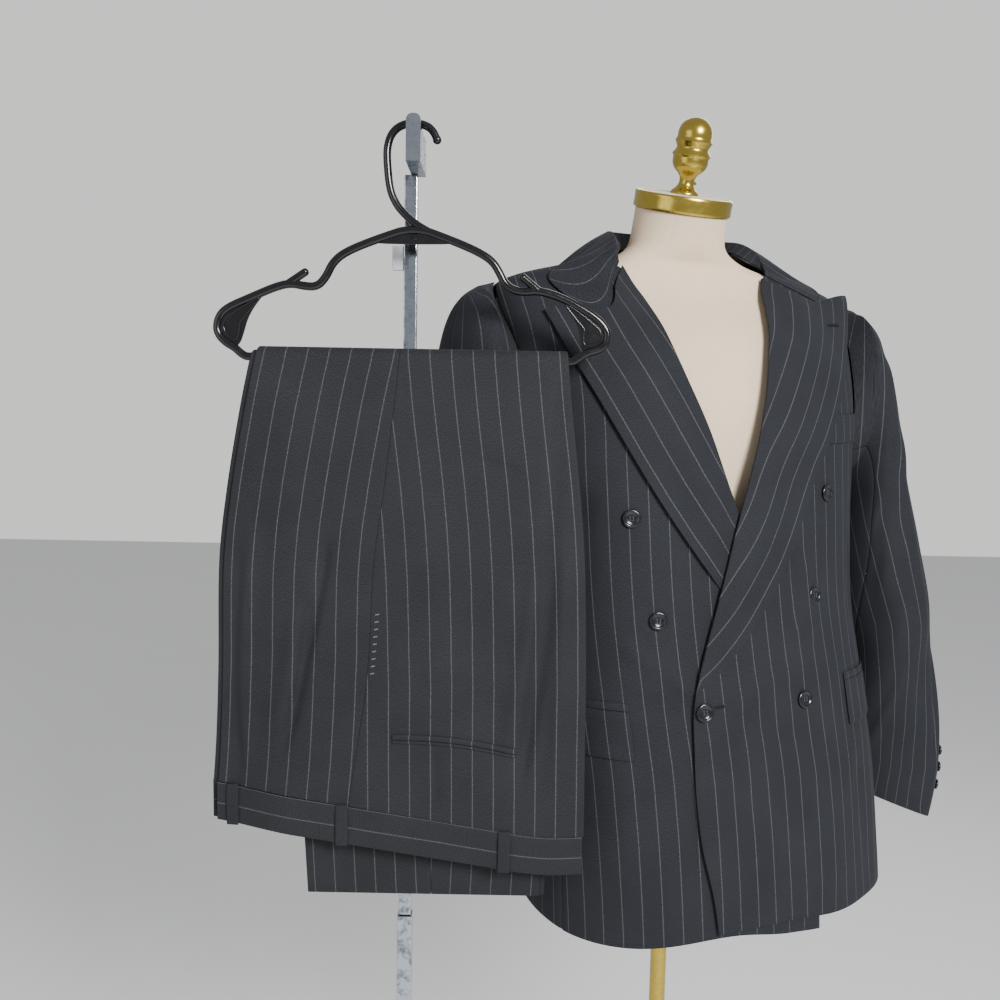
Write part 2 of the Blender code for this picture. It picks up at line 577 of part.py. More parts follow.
HANGER_PADDLES = [
    [(-0.166, 1.506), (-0.146, 1.497), (-0.124, 1.484), (-0.113, 1.471), (-0.114, 1.459), (-0.122, 1.4515),
     (-0.136, 1.4480), (-0.1395, 1.4510), (-0.142, 1.462), (-0.144, 1.475), (-0.152, 1.488)],
    [(-0.505, 1.4475), (-0.513, 1.4515), (-0.521, 1.4590), (-0.524, 1.468), (-0.521, 1.480), (-0.512, 1.489),
     (-0.487, 1.500), (-0.470, 1.5075), (-0.483, 1.492), (-0.491, 1.478), (-0.495, 1.464), (-0.499, 1.4520)],
]
HANGER_WEB = [(-0.363, 1.5565), (-0.271, 1.5575), (-0.276, 1.561), (-0.317, 1.577), (-0.358, 1.561)]


def wire_object(name, points, cyclic):
    curve = bpy.data.curves.new(name, "CURVE")
    curve.dimensions = "3D"
    curve.bevel_depth = WIRE_RADIUS
    curve.bevel_resolution = 2
    curve.use_fill_caps = True
    line = curve.splines.new("POLY")
    line.points.add(len(points) - 1)
    for target, (x, z) in zip(line.points, points):
        target.co = (x, HANGER_Y, z, 1)
    line.use_cyclic_u = cyclic
    return curve_to_mesh_object(name, curve)


def plate_object(name, outline, thickness):
    curve = bpy.data.curves.new(name, "CURVE")
    curve.dimensions = "2D"
    curve.fill_mode = "BOTH"
    curve.extrude = thickness / 2
    line = curve.splines.new("POLY")
    line.points.add(len(outline) - 1)
    for target, (x, z) in zip(line.points, outline):
        target.co = (x, z, 0, 1)
    line.use_cyclic_u = True
    stand_up = Matrix.Translation((0, HANGER_Y, 0)) @ Matrix.Rotation(math.radians(90), 4, "X")
    return curve_to_mesh_object(name, curve, stand_up)


def curve_to_mesh_object(name, curve, place=Matrix.Identity(4)):
    holder = bpy.data.objects.new(name + "_curve", curve)
    suit.objects.link(holder)
    holder.matrix_world = place
    bpy.context.view_layer.update()
    graph = bpy.context.evaluated_depsgraph_get()
    mesh = bpy.data.meshes.new_from_object(holder.evaluated_get(graph))
    mesh.transform(place)
    bm = bmesh.new()
    bm.from_mesh(mesh)
    bmesh.ops.remove_doubles(bm, verts=bm.verts[:], dist=0.00001)
    bmesh.ops.recalc_face_normals(bm, faces=bm.faces)
    bm.to_mesh(mesh)
    bm.free()
    bpy.data.objects.remove(holder, do_unlink=True)
    return mesh


def rounded_route(points, cyclic, rounds=1):
    """Cut the corners of a route so that its bends are smooth (Chaikin), keeping its ends."""
    for _ in range(rounds):
        pairs = list(zip(points, points[1:] + points[:1])) if cyclic else list(zip(points, points[1:]))
        route = []
        for (ax, az), (bx, bz) in pairs:
            route.append((0.75 * ax + 0.25 * bx, 0.75 * az + 0.25 * bz))
            route.append((0.25 * ax + 0.75 * bx, 0.25 * az + 0.75 * bz))
        if not cyclic:
            route = [points[0]] + route[1:-1] + [points[-1]]
        points = route
    return points


def make_hanger():
    pieces = [wire_object("hanger_frame", rounded_route(HANGER_FRAME, True), True),
              wire_object("hanger_hook", rounded_route(HANGER_HOOK, False), False)]
    pieces += [wire_object("hanger_tip", tip, False) for tip in HANGER_TIPS]
    pieces += [plate_object("hanger_paddle", outline, WEB_THICKNESS) for outline in HANGER_PADDLES]
    pieces.append(plate_object("hanger_web", HANGER_WEB, WEB_THICKNESS))
    body = bpy.data.objects.new("hanger_work", pieces[0])
    suit.objects.link(body)
    for mesh in pieces[1:]:
        tool = bpy.data.objects.new("hanger_tool", mesh)
        suit.objects.link(tool)
        union = body.modifiers.new("union", "BOOLEAN")
        union.operation = "UNION"
        union.object = tool
        graph = bpy.context.evaluated_depsgraph_get()
        joined = bpy.data.meshes.new_from_object(body.evaluated_get(graph))
        body.modifiers.clear()
        body.data = joined
        bpy.data.objects.remove(tool, do_unlink=True)
    result = body.data
    bpy.data.objects.remove(body, do_unlink=True)
    result.shade_smooth()
    result.set_sharp_from_angle(angle=math.radians(40))
    add_object("hanger", result, "plastic")


# ---------------------------------------------------------------- jacket: fronts, sides and backs
def frontal_line(rows):
    return lookup(sampled(rows), 1, 0)


left_roll_x = frontal_line(LEFT_ROLL)
left_edge_x = frontal_line(LEFT_EDGE)
right_roll_x = frontal_line(RIGHT_ROLL)
right_edge_x = frontal_line(RIGHT_EDGE)


def front_boundary(side, height):
    """x of a front's free edge: the front edge up to the break of the lapel, then the roll line."""
    if side > 0:
        return left_edge_x(height) if height < LEFT_ROLL[0].height else left_roll_x(height)
    return right_edge_x(height) if height < RIGHT_ROLL[0].height else right_roll_x(height)


def left_lift(x, height):
    """How far the left front stands out: full over the right front, easing to nothing past its edge."""
    under_edge = front_boundary(-1, height)
    return OVERLAP_LIFT * (1 - ease((x - under_edge - 0.004) / OVERLAP_EASE))


def front_free_angle(side, height):
    """Angle of the free edge.  Above the gorge it runs back to the neck point at the shoulder seam."""
    top = LEFT_ROLL[-1].height
    if height <= top:
        return BODY_FACE.angle_at_x(front_boundary(side, height), height)
    start = BODY_FACE.angle_at_x(front_boundary(side, top), top)
    neck = side * 86.0
    return start + (neck - start) * (height - top) / (NECK_TOP - top)


def front_seam_angle(height):
    if height < armhole_split_front:
        return FRONT_SEAM_ANGLE
    if height < SHOULDER_POINT:
        return armhole_front(height)
    return 90.0


def back_seam_angle(height):
    if height < armhole_split_back:
        return BACK_SEAM_ANGLE
    if height < SHOULDER_POINT:
        return armhole_back(height)
    return 90.0


armhole_split_front = armhole_under(FRONT_SEAM_ANGLE)
armhole_split_back = armhole_under(BACK_SEAM_ANGLE)


def row_height(angle, b, top):
    """Heights crowd together towards the shoulder, where the rings shrink fast."""
    bottom = hem_height(angle)
    crowded = b + 0.26 * math.sin(math.pi * b) * b
    return bottom + (top - bottom) * min(crowded, 1.0)


def front_point(side, a, b, inset):
    """Panel of one front: a from the free edge to the side seam, b from the hem to the shoulder."""
    guess = side * (12 + 58 * a)
    height = row_height(guess, b, NECK_TOP)
    free = front_free_angle(side, height)
    seam = side * front_seam_angle(height)
    start = BODY_FACE.arc(free, height)
    end = BODY_FACE.arc(seam, height) - side * SEAM / 2
    angle = BODY_FACE.angle_at_arc(start + (end - start) * a, height)
    lift = left_lift(BODY_FACE.face(angle, height)[0], height) if side > 0 else 0.0
    return BODY_FACE.point(angle, height, lift - inset)


def side_point(side, a, b, inset):
    low = FRONT_SEAM_ANGLE
    angle = low + (BACK_SEAM_ANGLE - low) * a
    top = armhole_under(angle) - SEAM / 2
    bottom = hem_height(side * angle)
    height = bottom + (top - bottom) * b
    start = BODY_FACE.arc(side * low, height) + side * SEAM / 2
    end = BODY_FACE.arc(side * BACK_SEAM_ANGLE, height) - side * SEAM / 2
    turned_angle = BODY_FACE.angle_at_arc(start + (end - start) * a, height)
    return BODY_FACE.point(turned_angle, height, -inset)


def back_point(side, a, b, inset):
    guess = side * (BACK_SEAM_ANGLE + (180 - BACK_SEAM_ANGLE) * a)
    neck_drop = 0.004 * a
    height = row_height(guess, b, NECK_TOP - neck_drop)
    seam = side * back_seam_angle(height)
    start = BODY_FACE.arc(seam, height) + side * SEAM / 2
    end = BODY_FACE.arc(side * 180, height) - side * SEAM / 2
    angle = BODY_FACE.angle_at_arc(start + (end - start) * a, height)
    return BODY_FACE.point(angle, height, -inset)


def make_body_panels(frame):
    for side, word in ((1, "left"), (-1, "right")):
        shell("jacket_front_" + word, lambda a, b, d, s=side: front_point(s, a, b, d), 8, 20, SUIT_WALL,
              "wool", frame)
        shell("jacket_side_" + word, lambda a, b, d, s=side: side_point(s, a, b, d), 4, 9, SUIT_WALL,
              "wool", frame)
        shell("jacket_back_" + word, lambda a, b, d, s=side: back_point(s, a, b, d), 6, 20, SUIT_WALL,
              "wool", frame)


# ---------------------------------------------------------------- lapels and collar
def along(rows, t):
    """Point at fraction t of the length of a frontal line."""
    line = sampled(rows, 8)
    run = np.concatenate([[0], np.cumsum(np.hypot(*np.diff(line, axis=0).T))])
    return np.array([np.interp(t * run[-1], run, line[:, 0]), np.interp(t * run[-1], run, line[:, 1])])


LAPEL_ROLL = 0.0060            # how far a lapel stands off the chest beside its roll line
LAPEL_REST = {1: 0.0022, -1: 0.0020}
LAPEL_LAY = 0.0008
COVER_EASE = 0.030             # width over which the right lapel sinks flat before the left front covers it


def front_lift(side, x, height):
    return left_lift(x, height) if side > 0 else 0.0


def lapel_point(side, roll, edge, gorge, a, b, inset):
    """Lapel laid back on the front: a from the roll line to the outer edge, b from break to gorge."""
    inner = along(roll, b)
    outer = along(edge, b)
    flat = inner + (outer - inner) * a
    top_line = along(gorge, a)
    top_straight = along(roll, 1) + (along(edge, 1) - along(roll, 1)) * a
    flat = flat + (top_line - top_straight) * b ** 6
    angle = BODY_FACE.angle_at_x(flat[0], flat[1])
    free = ease((front_boundary(1, flat[1]) - flat[0]) / COVER_EASE) if side < 0 else 1.0
    swell = LAPEL_ROLL * ease(b * 3) * math.sin(math.pi * min(1, (1 - a) ** 1.5)) ** 2
    swell += LAPEL_REST[side] * a * ease(b * 4)
    rise = front_lift(side, flat[0], flat[1]) + SUIT_WALL + LAPEL_LAY + swell * free
    return BODY_FACE.point(angle, flat[1], rise - inset)


def make_lapels(frame):
    shell("lapel_left", lambda a, b, d: lapel_point(1, LEFT_ROLL, LEFT_LAPEL, LEFT_GORGE, a, b, d),
          5, 18, SUIT_WALL, "wool", frame)
    shell("lapel_right", lambda a, b, d: lapel_point(-1, RIGHT_ROLL, RIGHT_LAPEL, RIGHT_GORGE, a, b, d),
          5, 18, SUIT_WALL, "wool", frame)


def top_height(x, y):
    """Height of the jacket's shoulders over a point, found between the chest and the neck edge."""
    low, high = 1.42, NECK_TOP
    for _ in range(14):
        middle = (low + high) / 2
        row = [float(np.interp(middle, BODY_FACE.table[:, 0], BODY_FACE.table[:, c])) for c in range(1, 7)]
        half_width, front, back, shift_x, shift_y, square = row
        deep = front if y < shift_y else back
        inside = abs((x - shift_x) / half_width) ** square + abs((y - shift_y) / deep) ** square < 1
        low, high = (middle, high) if inside else (low, middle)
    return low


COLLAR_STAND = 0.36            # share of the collar's width that stands up inside the fold


def collar_point(a, b, inset):
    """Collar folded round the neck: a from the right gorge over the back to the left, b from seam to edge."""
    reach = abs(a * 2 - 1) * (len(COLLAR) - 1)
    side = 1 if a > 0.5 else -1
    row = CollarRow(*spline(COLLAR, reach))
    fold = np.array([side * row.fold_x + COLLAR_MIDDLE, row.fold_y, row.fold_z])
    if b < COLLAR_STAND:
        seam = BODY_FACE.point(side * row.seam_angle, min(row.seam_z, NECK_TOP), 0)
        seam[2] = row.seam_z + 2 * LAY
        return seam + (fold - seam) * (b / COLLAR_STAND)
    t = (b - COLLAR_STAND) / (1 - COLLAR_STAND)
    raised = LEFT_NOTCH_RAISE * ease(reach - (len(COLLAR) - 2)) if side > 0 else 0.0
    edge = BODY_FACE.point(side * row.edge_angle, row.edge_z + raised, COLLAR_CLEARANCE)
    spot = fold + (edge - fold) * t
    spot[2] -= row.dip * math.sin(math.pi * t)
    if spot[2] < NECK_TOP:
        spot[2] = max(spot[2], top_height(spot[0], spot[1]) + COLLAR_CLEARANCE)
    return spot


def offset_surface(point):
    """Give a thin surface a wall: the inner face is moved back along the surface's own normal."""
    step = 0.004

    def walled(a, b, inset):
        spot = point(a, b, 0)
        if not inset:
            return spot
        across = point(min(a + step, 1), b, 0) - point(max(a - step, 0), b, 0)
        up = point(a, min(b + step * 4, 1), 0) - point(a, max(b - step * 4, 0), 0)
        normal = np.cross(across, up)
        return spot - normal / np.linalg.norm(normal) * inset
    return walled


def make_collar(frame):
    shell("collar", offset_surface(collar_point), 20, 6, SUIT_WALL, "wool", frame)


# ---------------------------------------------------------------- sleeves
def sleeve_rows(side):
    return LEFT_SLEEVE if side > 0 else RIGHT_SLEEVE


def sleeve_ring_point(side, rows, at, turn, inset):
    """Point on a sleeve section; turn 0 is the outside of the sleeve and a quarter is its front."""
    row = SleeveRow(*spline(rows, at))
    outer = np.array([row.outer_x, row.mid_y, row.outer_z])
    inner = np.array([row.inner_x, row.mid_y, row.inner_z])
    across = (outer - inner) / 2
    reach = np.linalg.norm(across)
    fore = np.array([0.0, -1.0, 0.0])
    swing = math.cos(2 * math.pi * turn) * (reach - inset)
    lean = math.sin(2 * math.pi * turn)
    lean *= (row.fore if lean > 0 else row.aft) - inset
    twist = math.radians(row.twist)
    out = swing * math.cos(twist) - lean * math.sin(twist)
    ahead = swing * math.sin(twist) + lean * math.cos(twist)
    spot = (outer + inner) / 2 + across / reach * out + fore * ahead
    spot[0] *= side
    return spot


def sleeve_start_point(side, turn, inset):
    """The sleeve's first section lies just outside the armhole seam."""
    angle, height = armhole_loop(turn)
    raised = BODY_FACE.point(angle, height, SUIT_WALL + ARMHOLE_LAY)
    centre = np.array([raised[0] + 0.012, 0.004, 1.414])
    inward = centre - raised
    inward /= np.linalg.norm(inward)
    spot = raised + inward * inset
    if side > 0:
        return spot
    mirror = BODY_FACE.point(-angle, height, SUIT_WALL + ARMHOLE_LAY)
    inward = np.array([mirror[0] - 0.012, 0.004, 1.414]) - mirror
    return mirror + inward / np.linalg.norm(inward) * inset


def sleeve_point(side, first, last, a, b, inset):
    """Part of a sleeve between two seams: a round it, b from the armhole to the cuff."""
    rows = sleeve_rows(side)
    half_gap = math.degrees(SEAM * 0.8 / SLEEVE_RADIUS)
    turn = (first + half_gap + (last - first - 2 * half_gap) * a) / 360.0
    at = b * len(rows) - 1
    if at >= 0:
        return sleeve_ring_point(side, rows, at, turn, inset)
    start = sleeve_start_point(side, turn, inset)
    return start + (sleeve_ring_point(side, rows, 0, turn, inset) - start) * (at + 1)


def make_sleeves(frame):
    for side, word in ((1, "left"), (-1, "right")):
        rows = len(sleeve_rows(side))
        back = SLEEVE_BACK_SEAM - 360.0
        shell("sleeve_%s_upper" % word,
              lambda a, b, d, s=side: sleeve_point(s, back, SLEEVE_FRONT_SEAM, a, b, d),
              UPPER_COLUMNS, rows, SUIT_WALL, "wool", frame)
        shell("sleeve_%s_under" % word,
              lambda a, b, d, s=side: sleeve_point(s, SLEEVE_FRONT_SEAM, SLEEVE_BACK_SEAM, a, b, d), 5, rows,
              SUIT_WALL, "wool", frame)


# ---------------------------------------------------------------- pockets and buttons
def laid_patch(name, side, corner_arc, width, top, bottom, lift, wall, frame, columns=5, slant=0.0):
    """A flap, jet or welt: a patch on the front that starts at an arc length and runs towards the side."""
    def point(a, b, inset):
        height = bottom + (top - bottom) * b + slant * a
        arc = corner_arc + width * a
        angle = BODY_FACE.angle_at_arc(arc, height)
        x = BODY_FACE.face(angle, height)[0]
        return BODY_FACE.point(angle, height, front_lift(side, x, height) + lift + wall - inset)
    shell(name, point, columns, 2, wall, "wool", frame)


FLAP_COLUMNS = 7


def make_pockets(frame):
    for side, word, flap in ((1, "left", LEFT_FLAP), (-1, "right", RIGHT_FLAP)):
        start = BODY_FACE.arc(BODY_FACE.angle_at_x(flap.start_x, flap.top), flap.top)
        laid_patch("pocket_jet_" + word, side, start, flap.width, flap.top + JET_HEIGHT, flap.top + SEAM,
                   PATCH_LAY, JET_WALL, frame, FLAP_COLUMNS, flap.slant)
        laid_patch("pocket_flap_" + word, side, start, flap.width, flap.top, flap.top - flap.drop, PATCH_LAY,
                   SUIT_WALL, frame, FLAP_COLUMNS, flap.slant)
    x0, x1, z0, z1, slant = BREAST_WELT
    start = BODY_FACE.arc(BODY_FACE.angle_at_x(x0, z0), z0)
    end = BODY_FACE.arc(BODY_FACE.angle_at_x(x1, z0), z0)
    laid_patch("breast_pocket_welt", 1, start, end - start, z1, z0, PATCH_LAY, JET_WALL, frame, 5, slant)


def button_profile(radius):
    thick = BUTTON_THICKNESS
    return [(0.0, thick * 0.62), (radius * 0.58, thick * 0.62), (radius * 0.72, thick), (radius * 0.88, thick),
            (radius, thick * 0.70), (radius * 0.93, 0.0), (0.0, 0.0)]


def place_button(name, radius, spot, outward, frame):
    button = turned(name, button_profile(radius), 12, "button", frame)
    button.matrix_local = (Matrix.Translation(Vector(spot))
                           @ Vector(outward).to_track_quat("Z", "Y").to_matrix().to_4x4())


def make_buttons(frame):
    for row in FRONT_BUTTONS:
        side = 1 if row.panel == "left" else -1
        angle = BODY_FACE.angle_at_x(row.x, row.height)
        lift = front_lift(side, row.x, row.height)
        spot = BODY_FACE.point(angle, row.height, lift + BUTTON_LAY)
        outward = BODY_FACE.point(angle, row.height, lift + 0.01) - BODY_FACE.point(angle, row.height, lift)
        place_button(row.name, BUTTON_RADIUS, spot, outward, frame)


CUFF_BUTTON_START = 0.037      # from the hem to the lowest cuff button, and between two of them
CUFF_BUTTON_PITCH = 0.0164


def make_cuff_buttons(frame):
    """Cuff buttons lie flat on the facet of the upper sleeve that runs beside its back seam."""
    for side, word in ((1, "left"), (-1, "right")):
        rows = len(sleeve_rows(side))

        def upper(column, row):
            return sleeve_point(side, SLEEVE_BACK_SEAM - 360.0, SLEEVE_FRONT_SEAM, column / UPPER_COLUMNS,
                                row / rows, 0)
        row_length = np.linalg.norm(upper(0.5, rows) - upper(0.5, rows - 1))
        for number in range(3):
            at = rows - (CUFF_BUTTON_START + number * CUFF_BUTTON_PITCH) / row_length
            low = int(at)
            share = at - low
            corners = [upper(column, row) for column in (0, 1) for row in (low, low + 1)]
            spot = (corners[0] + corners[2]) / 2 * (1 - share) + (corners[1] + corners[3]) / 2 * share
            outward = np.cross(corners[3] - corners[0], corners[1] - corners[2])
            if outward.dot(spot - upper(UPPER_COLUMNS / 2, at)) < 0:
                outward = -outward
            outward /= np.linalg.norm(outward)
            place_button("cuff_button_%s_%d" % (word, number + 1), CUFF_BUTTON_RADIUS,
                         spot + outward * BUTTON_LAY, outward, frame)


# ---------------------------------------------------------------- trousers
front_drop = {c: lookup(sampled(FRONT_DROP), 0, i) for i, c in enumerate(LegRow._fields) if i}
back_drop = {c: lookup(sampled(BACK_DROP), 0, i) for i, c in enumerate(LegRow._fields) if i}
waist_seam = lookup(sampled(WAIST_SEAM), 0, 1)


BAR_RISE = 0.0115              # length of cloth that bends over each side of the bar


def leg_section(leg, run):
    """Edges, side seam, tube depth and base layer of a leg at a run along its length, from the bar."""
    inner = LEG_LAY + WIRE_RADIUS
    base = inner if leg == "left" else inner + LEG_DEPTH + LEG_LAY
    height = BAR_HEIGHT + BAR_RISE - abs(run)
    table = front_drop if run > 0 else back_drop
    values = {name: table[name](height) for name in ("left", "seam", "right", "swell")}
    shift = LEFT_LEG_SHIFT if leg == "left" else 0.0
    return values["left"] + shift, values["seam"] + shift, values["right"] + shift, base, values["swell"]


def over_bar(x, run, reach):
    """World point of a layer `reach` metres from the bar's middle; run is the length from the bar's top."""
    way = -1 if run > 0 else 1
    if abs(run) < BAR_RISE:
        turn = abs(run) / BAR_RISE * math.pi / 2
        return np.array([x, HANGER_Y + way * reach * math.sin(turn), BAR_HEIGHT + reach * math.cos(turn)])
    return np.array([x, HANGER_Y + way * reach, BAR_HEIGHT + BAR_RISE - abs(run)])


# Shares of a panel's columns that lie on the outer face, round the crease and on the inner face.
OUTER_SHARE = 0.50
BEND_SHARE = 0.25
LEG_COLUMNS = 8
LEG_ROWS = 20
SWELL_EASE = 0.090
FORK_EASE = 0.100              # length over which the inner half of a leg widens below the fork
TURN_IN = 0.004                # how far the cloth turns in past the crease above the fork
INSEAM_LAY = 0.002


def leg_point(leg, part, a, b, inset):
    """A trouser panel: a from the outseam round the crease to the inseam, b from the hem to the waist."""
    face = 1 if leg == "right" else -1
    way = -1 if part == "front" else 1
    run = leg_run(leg, way, a, b)
    left, seam, right, base, swell = leg_section(leg, run)
    half = LEG_DEPTH / 2
    crease = left if way < 0 else right
    fork = ease((WAIST_RUN - CROTCH_DROP - run) / FORK_EASE)
    inner_reach = TURN_IN + (abs(crease - seam) - half - TURN_IN - INSEAM_LAY) * fork
    flat = abs(crease - seam) - half - SEAM / 2
    radius = half - inset
    bend_middle = crease - way * half
    if a <= OUTER_SHARE:
        x = seam + way * (SEAM / 2 + flat * a / OUTER_SHARE)
        level = half + face * radius
    elif a < OUTER_SHARE + BEND_SHARE:
        turn = math.pi * (a - OUTER_SHARE) / BEND_SHARE
        x = bend_middle + way * radius * math.sin(turn)
        level = half + face * radius * math.cos(turn)
    else:
        t = (a - OUTER_SHARE - BEND_SHARE) / (1 - OUTER_SHARE - BEND_SHARE)
        x = bend_middle - way * inner_reach * t
        level = half - face * radius
    reach = base + level
    if a < OUTER_SHARE and leg == "right":
        reach += swell * ease(min(abs(x - left), abs(right - x)) / SWELL_EASE)
    return over_bar(x, run, reach)


WAIST_RUN = 0.500
HEM_RUN = -(BAR_HEIGHT + BAR_RISE - 0.846)
BACK_SHARE = 0.25              # shares of a panel's rows: up to the back of the bar, and to its front
BAR_SHARE = 0.55


def leg_run(leg, way, a, b):
    """Length coordinate of a trouser panel: from the hem (b = 0) over the bar to the waist seam (b = 1)."""
    shift = LEFT_LEG_SHIFT if leg == "left" else 0.0
    seam = front_drop["seam"](0.95)
    crease = front_drop["left" if way < 0 else "right"](0.95)
    x = seam + (crease - seam) * min(a / OUTER_SHARE, 1.0) + shift
    waist = BAR_HEIGHT + BAR_RISE - waist_seam(x) - SEAM
    if b < BACK_SHARE:
        return HEM_RUN + (-BAR_RISE - HEM_RUN) * b / BACK_SHARE
    if b < BAR_SHARE:
        return BAR_RISE * (2 * (b - BACK_SHARE) / (BAR_SHARE - BACK_SHARE) - 1)
    return BAR_RISE + (waist - BAR_RISE) * (b - BAR_SHARE) / (1 - BAR_SHARE)


def make_trousers():
    for leg in ("right", "left"):
        for part in ("front", "back"):
            shell("trousers_%s_%s" % (part, leg),
                  lambda a, b, d, lg=leg, pt=part: leg_point(lg, pt, a, b, d),
                  LEG_COLUMNS, LEG_ROWS, TROUSER_WALL, "trouser_wool")


BAND_COLUMNS = 8


def band_point(leg, a, b, inset):
    """Half of the waistband, from the front opening to the seat seam, below the waist seam."""
    face = 1 if leg == "right" else -1
    level = waist_seam((front_drop["left"](0.95) + front_drop["right"](0.95)) / 2)
    left, seam, right, base, swell = leg_section(leg, BAR_HEIGHT + BAR_RISE - level)
    half = LEG_DEPTH / 2
    if a < 0.5:
        x = left + half + (seam - left - half) * a * 2
    else:
        x = seam + (right - half - seam) * (a * 2 - 1)
    height = waist_seam(x) - SEAM / 2 - WAISTBAND * (1 - b)
    reach = base + half + face * (half - inset)
    if leg == "right":
        reach += swell * ease(min(abs(x - left), abs(right - x)) / SWELL_EASE)
    return np.array([x, HANGER_Y - reach, height])


def facet_depth(point, columns, key, low, high, value, b):
    """Depth (world y) of a faceted panel where one coordinate reaches a value, at the row fraction b."""
    spots = [point(low + (high - low) * i / columns, b, 0) for i in range(columns + 1)]
    spots.sort(key=lambda spot: spot[key])
    return float(np.interp(value, [spot[key] for spot in spots], [spot[1] for spot in spots]))


def trouser_face(leg, x, height):
    """Outer face of a trouser half on its front drop, on the same facets as the panel under it."""
    seam = front_drop["seam"](height)
    part = "front" if x < seam else "back"
    start = BAR_SHARE
    drop_rows = round(LEG_ROWS * (1 - start))
    levels = [start + (1 - start) * j / drop_rows for j in range(drop_rows + 1)]
    heights = [leg_point(leg, part, 0.25, level, 0)[2] for level in levels]
    depths = [facet_depth(lambda a, b, d: leg_point(leg, part, a, b, d), LEG_COLUMNS // 2, 0, 0.0, OUTER_SHARE,
                          x, level) for level in levels]
    return float(np.interp(height, heights[::-1], depths[::-1]))


def band_face(leg, x):
    return facet_depth(lambda a, b, d: band_point(leg, a, b, d), BAND_COLUMNS, 0, 0.0, 1.0, x, 0.5)


LOOP_WIDTH = 0.013
LOOP_LENGTH = 0.046
LOOP_WALL = 0.0012
LOOP_LAY = 0.0006
LOOP_PLACES = [-0.508, -0.388, -0.212]


def make_waistband():
    for leg in ("right", "left"):
        shell("waistband_" + leg, lambda a, b, d, lg=leg: band_point(lg, a, b, d), BAND_COLUMNS, 2,
              TROUSER_WALL, "trouser_wool")
        for number, place in enumerate(LOOP_PLACES):
            make_belt_loop(leg, number + 1, place)


def make_belt_loop(leg, number, place):
    way = -1 if leg == "right" else 1
    seam = waist_seam(place)

    def point(a, b, inset):
        x = place + LOOP_WIDTH * (a - 0.5)
        height = seam - WAISTBAND - 0.002 + LOOP_LENGTH * b
        under = band_face(leg, x)
        return np.array([x, under + way * (LOOP_LAY + LOOP_WALL - inset), height])
    shell("belt_loop_%s_%d" % (leg, number), point, 2, 3, LOOP_WALL, "trouser_wool")


WELT_ENDS = (-0.334, -0.200)
WELT_HEIGHT = 0.0100
WELT_WALL = 0.0010
WELT_MIDDLE = 1.033
WELT_FALL = 0.014
WELT_BOW = 0.004


def make_back_pockets():
    for leg in ("right", "left"):
        way = -1 if leg == "right" else 1

        def point(a, b, inset, lg=leg, wy=way):
            x = WELT_ENDS[0] + (WELT_ENDS[1] - WELT_ENDS[0]) * a
            middle = WELT_MIDDLE - WELT_FALL * a + WELT_BOW * math.sin(math.pi * a)
            height = middle + WELT_HEIGHT * (b - 0.5)
            under = trouser_face(lg, x, height)
            return np.array([x, under + wy * (LOOP_LAY + WELT_WALL - inset), height])
        shell("back_pocket_welt_" + leg, point, 6, 1, WELT_WALL, "trouser_wool")


# ---------------------------------------------------------------- the whole set
def main():
    clear_scene()
    frame = bpy.data.objects.new("form_frame", None)
    suit.objects.link(frame)
    frame.rotation_euler = (0, 0, FORM_TURN)
    make_form(frame)
    make_cap_and_finial(frame)
    make_pole_and_base()
    make_stand()
    make_hanger()
    make_body_panels(frame)
    make_lapels(frame)
    make_collar(frame)
    make_sleeves(frame)
    make_pockets(frame)
    make_buttons(frame)
    make_cuff_buttons(frame)
    make_trousers()
    make_waistband()
    make_back_pockets()


main()
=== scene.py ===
"""A double-breasted pinstripe suit: the jacket on a dress form, the trousers over a hanger's bar.

The sizes and tables below are the set's own, in metres: heights are above the floor, and the
jacket's are in the form's frame, which stands turned a little towards the left.
"""
import math
from collections import namedtuple

import bmesh
import bpy
import numpy as np
from mathutils import Matrix, Vector


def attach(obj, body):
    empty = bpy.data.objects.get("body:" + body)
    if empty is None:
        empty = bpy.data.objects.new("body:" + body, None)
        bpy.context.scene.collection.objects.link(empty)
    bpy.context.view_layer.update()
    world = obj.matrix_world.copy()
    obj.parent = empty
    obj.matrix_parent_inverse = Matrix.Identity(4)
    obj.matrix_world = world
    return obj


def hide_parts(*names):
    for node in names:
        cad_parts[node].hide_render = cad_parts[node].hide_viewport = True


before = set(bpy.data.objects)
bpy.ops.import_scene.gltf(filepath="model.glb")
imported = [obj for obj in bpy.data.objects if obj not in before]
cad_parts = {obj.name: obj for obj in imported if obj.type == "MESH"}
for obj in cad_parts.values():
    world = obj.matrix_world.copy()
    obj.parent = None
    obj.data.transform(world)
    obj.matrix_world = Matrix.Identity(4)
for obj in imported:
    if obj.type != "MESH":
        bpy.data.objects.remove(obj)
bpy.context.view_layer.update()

# ---------------------------------------------------------------- driving sizes
SUIT_WALL = 0.0015
LINING_WALL = 0.0011           # what shows of the wall; the rest is room for the soft creases
SEAM = 0.00035
FORM_TURN = math.radians(23.0)
STRIPE_PITCH = 0.0226

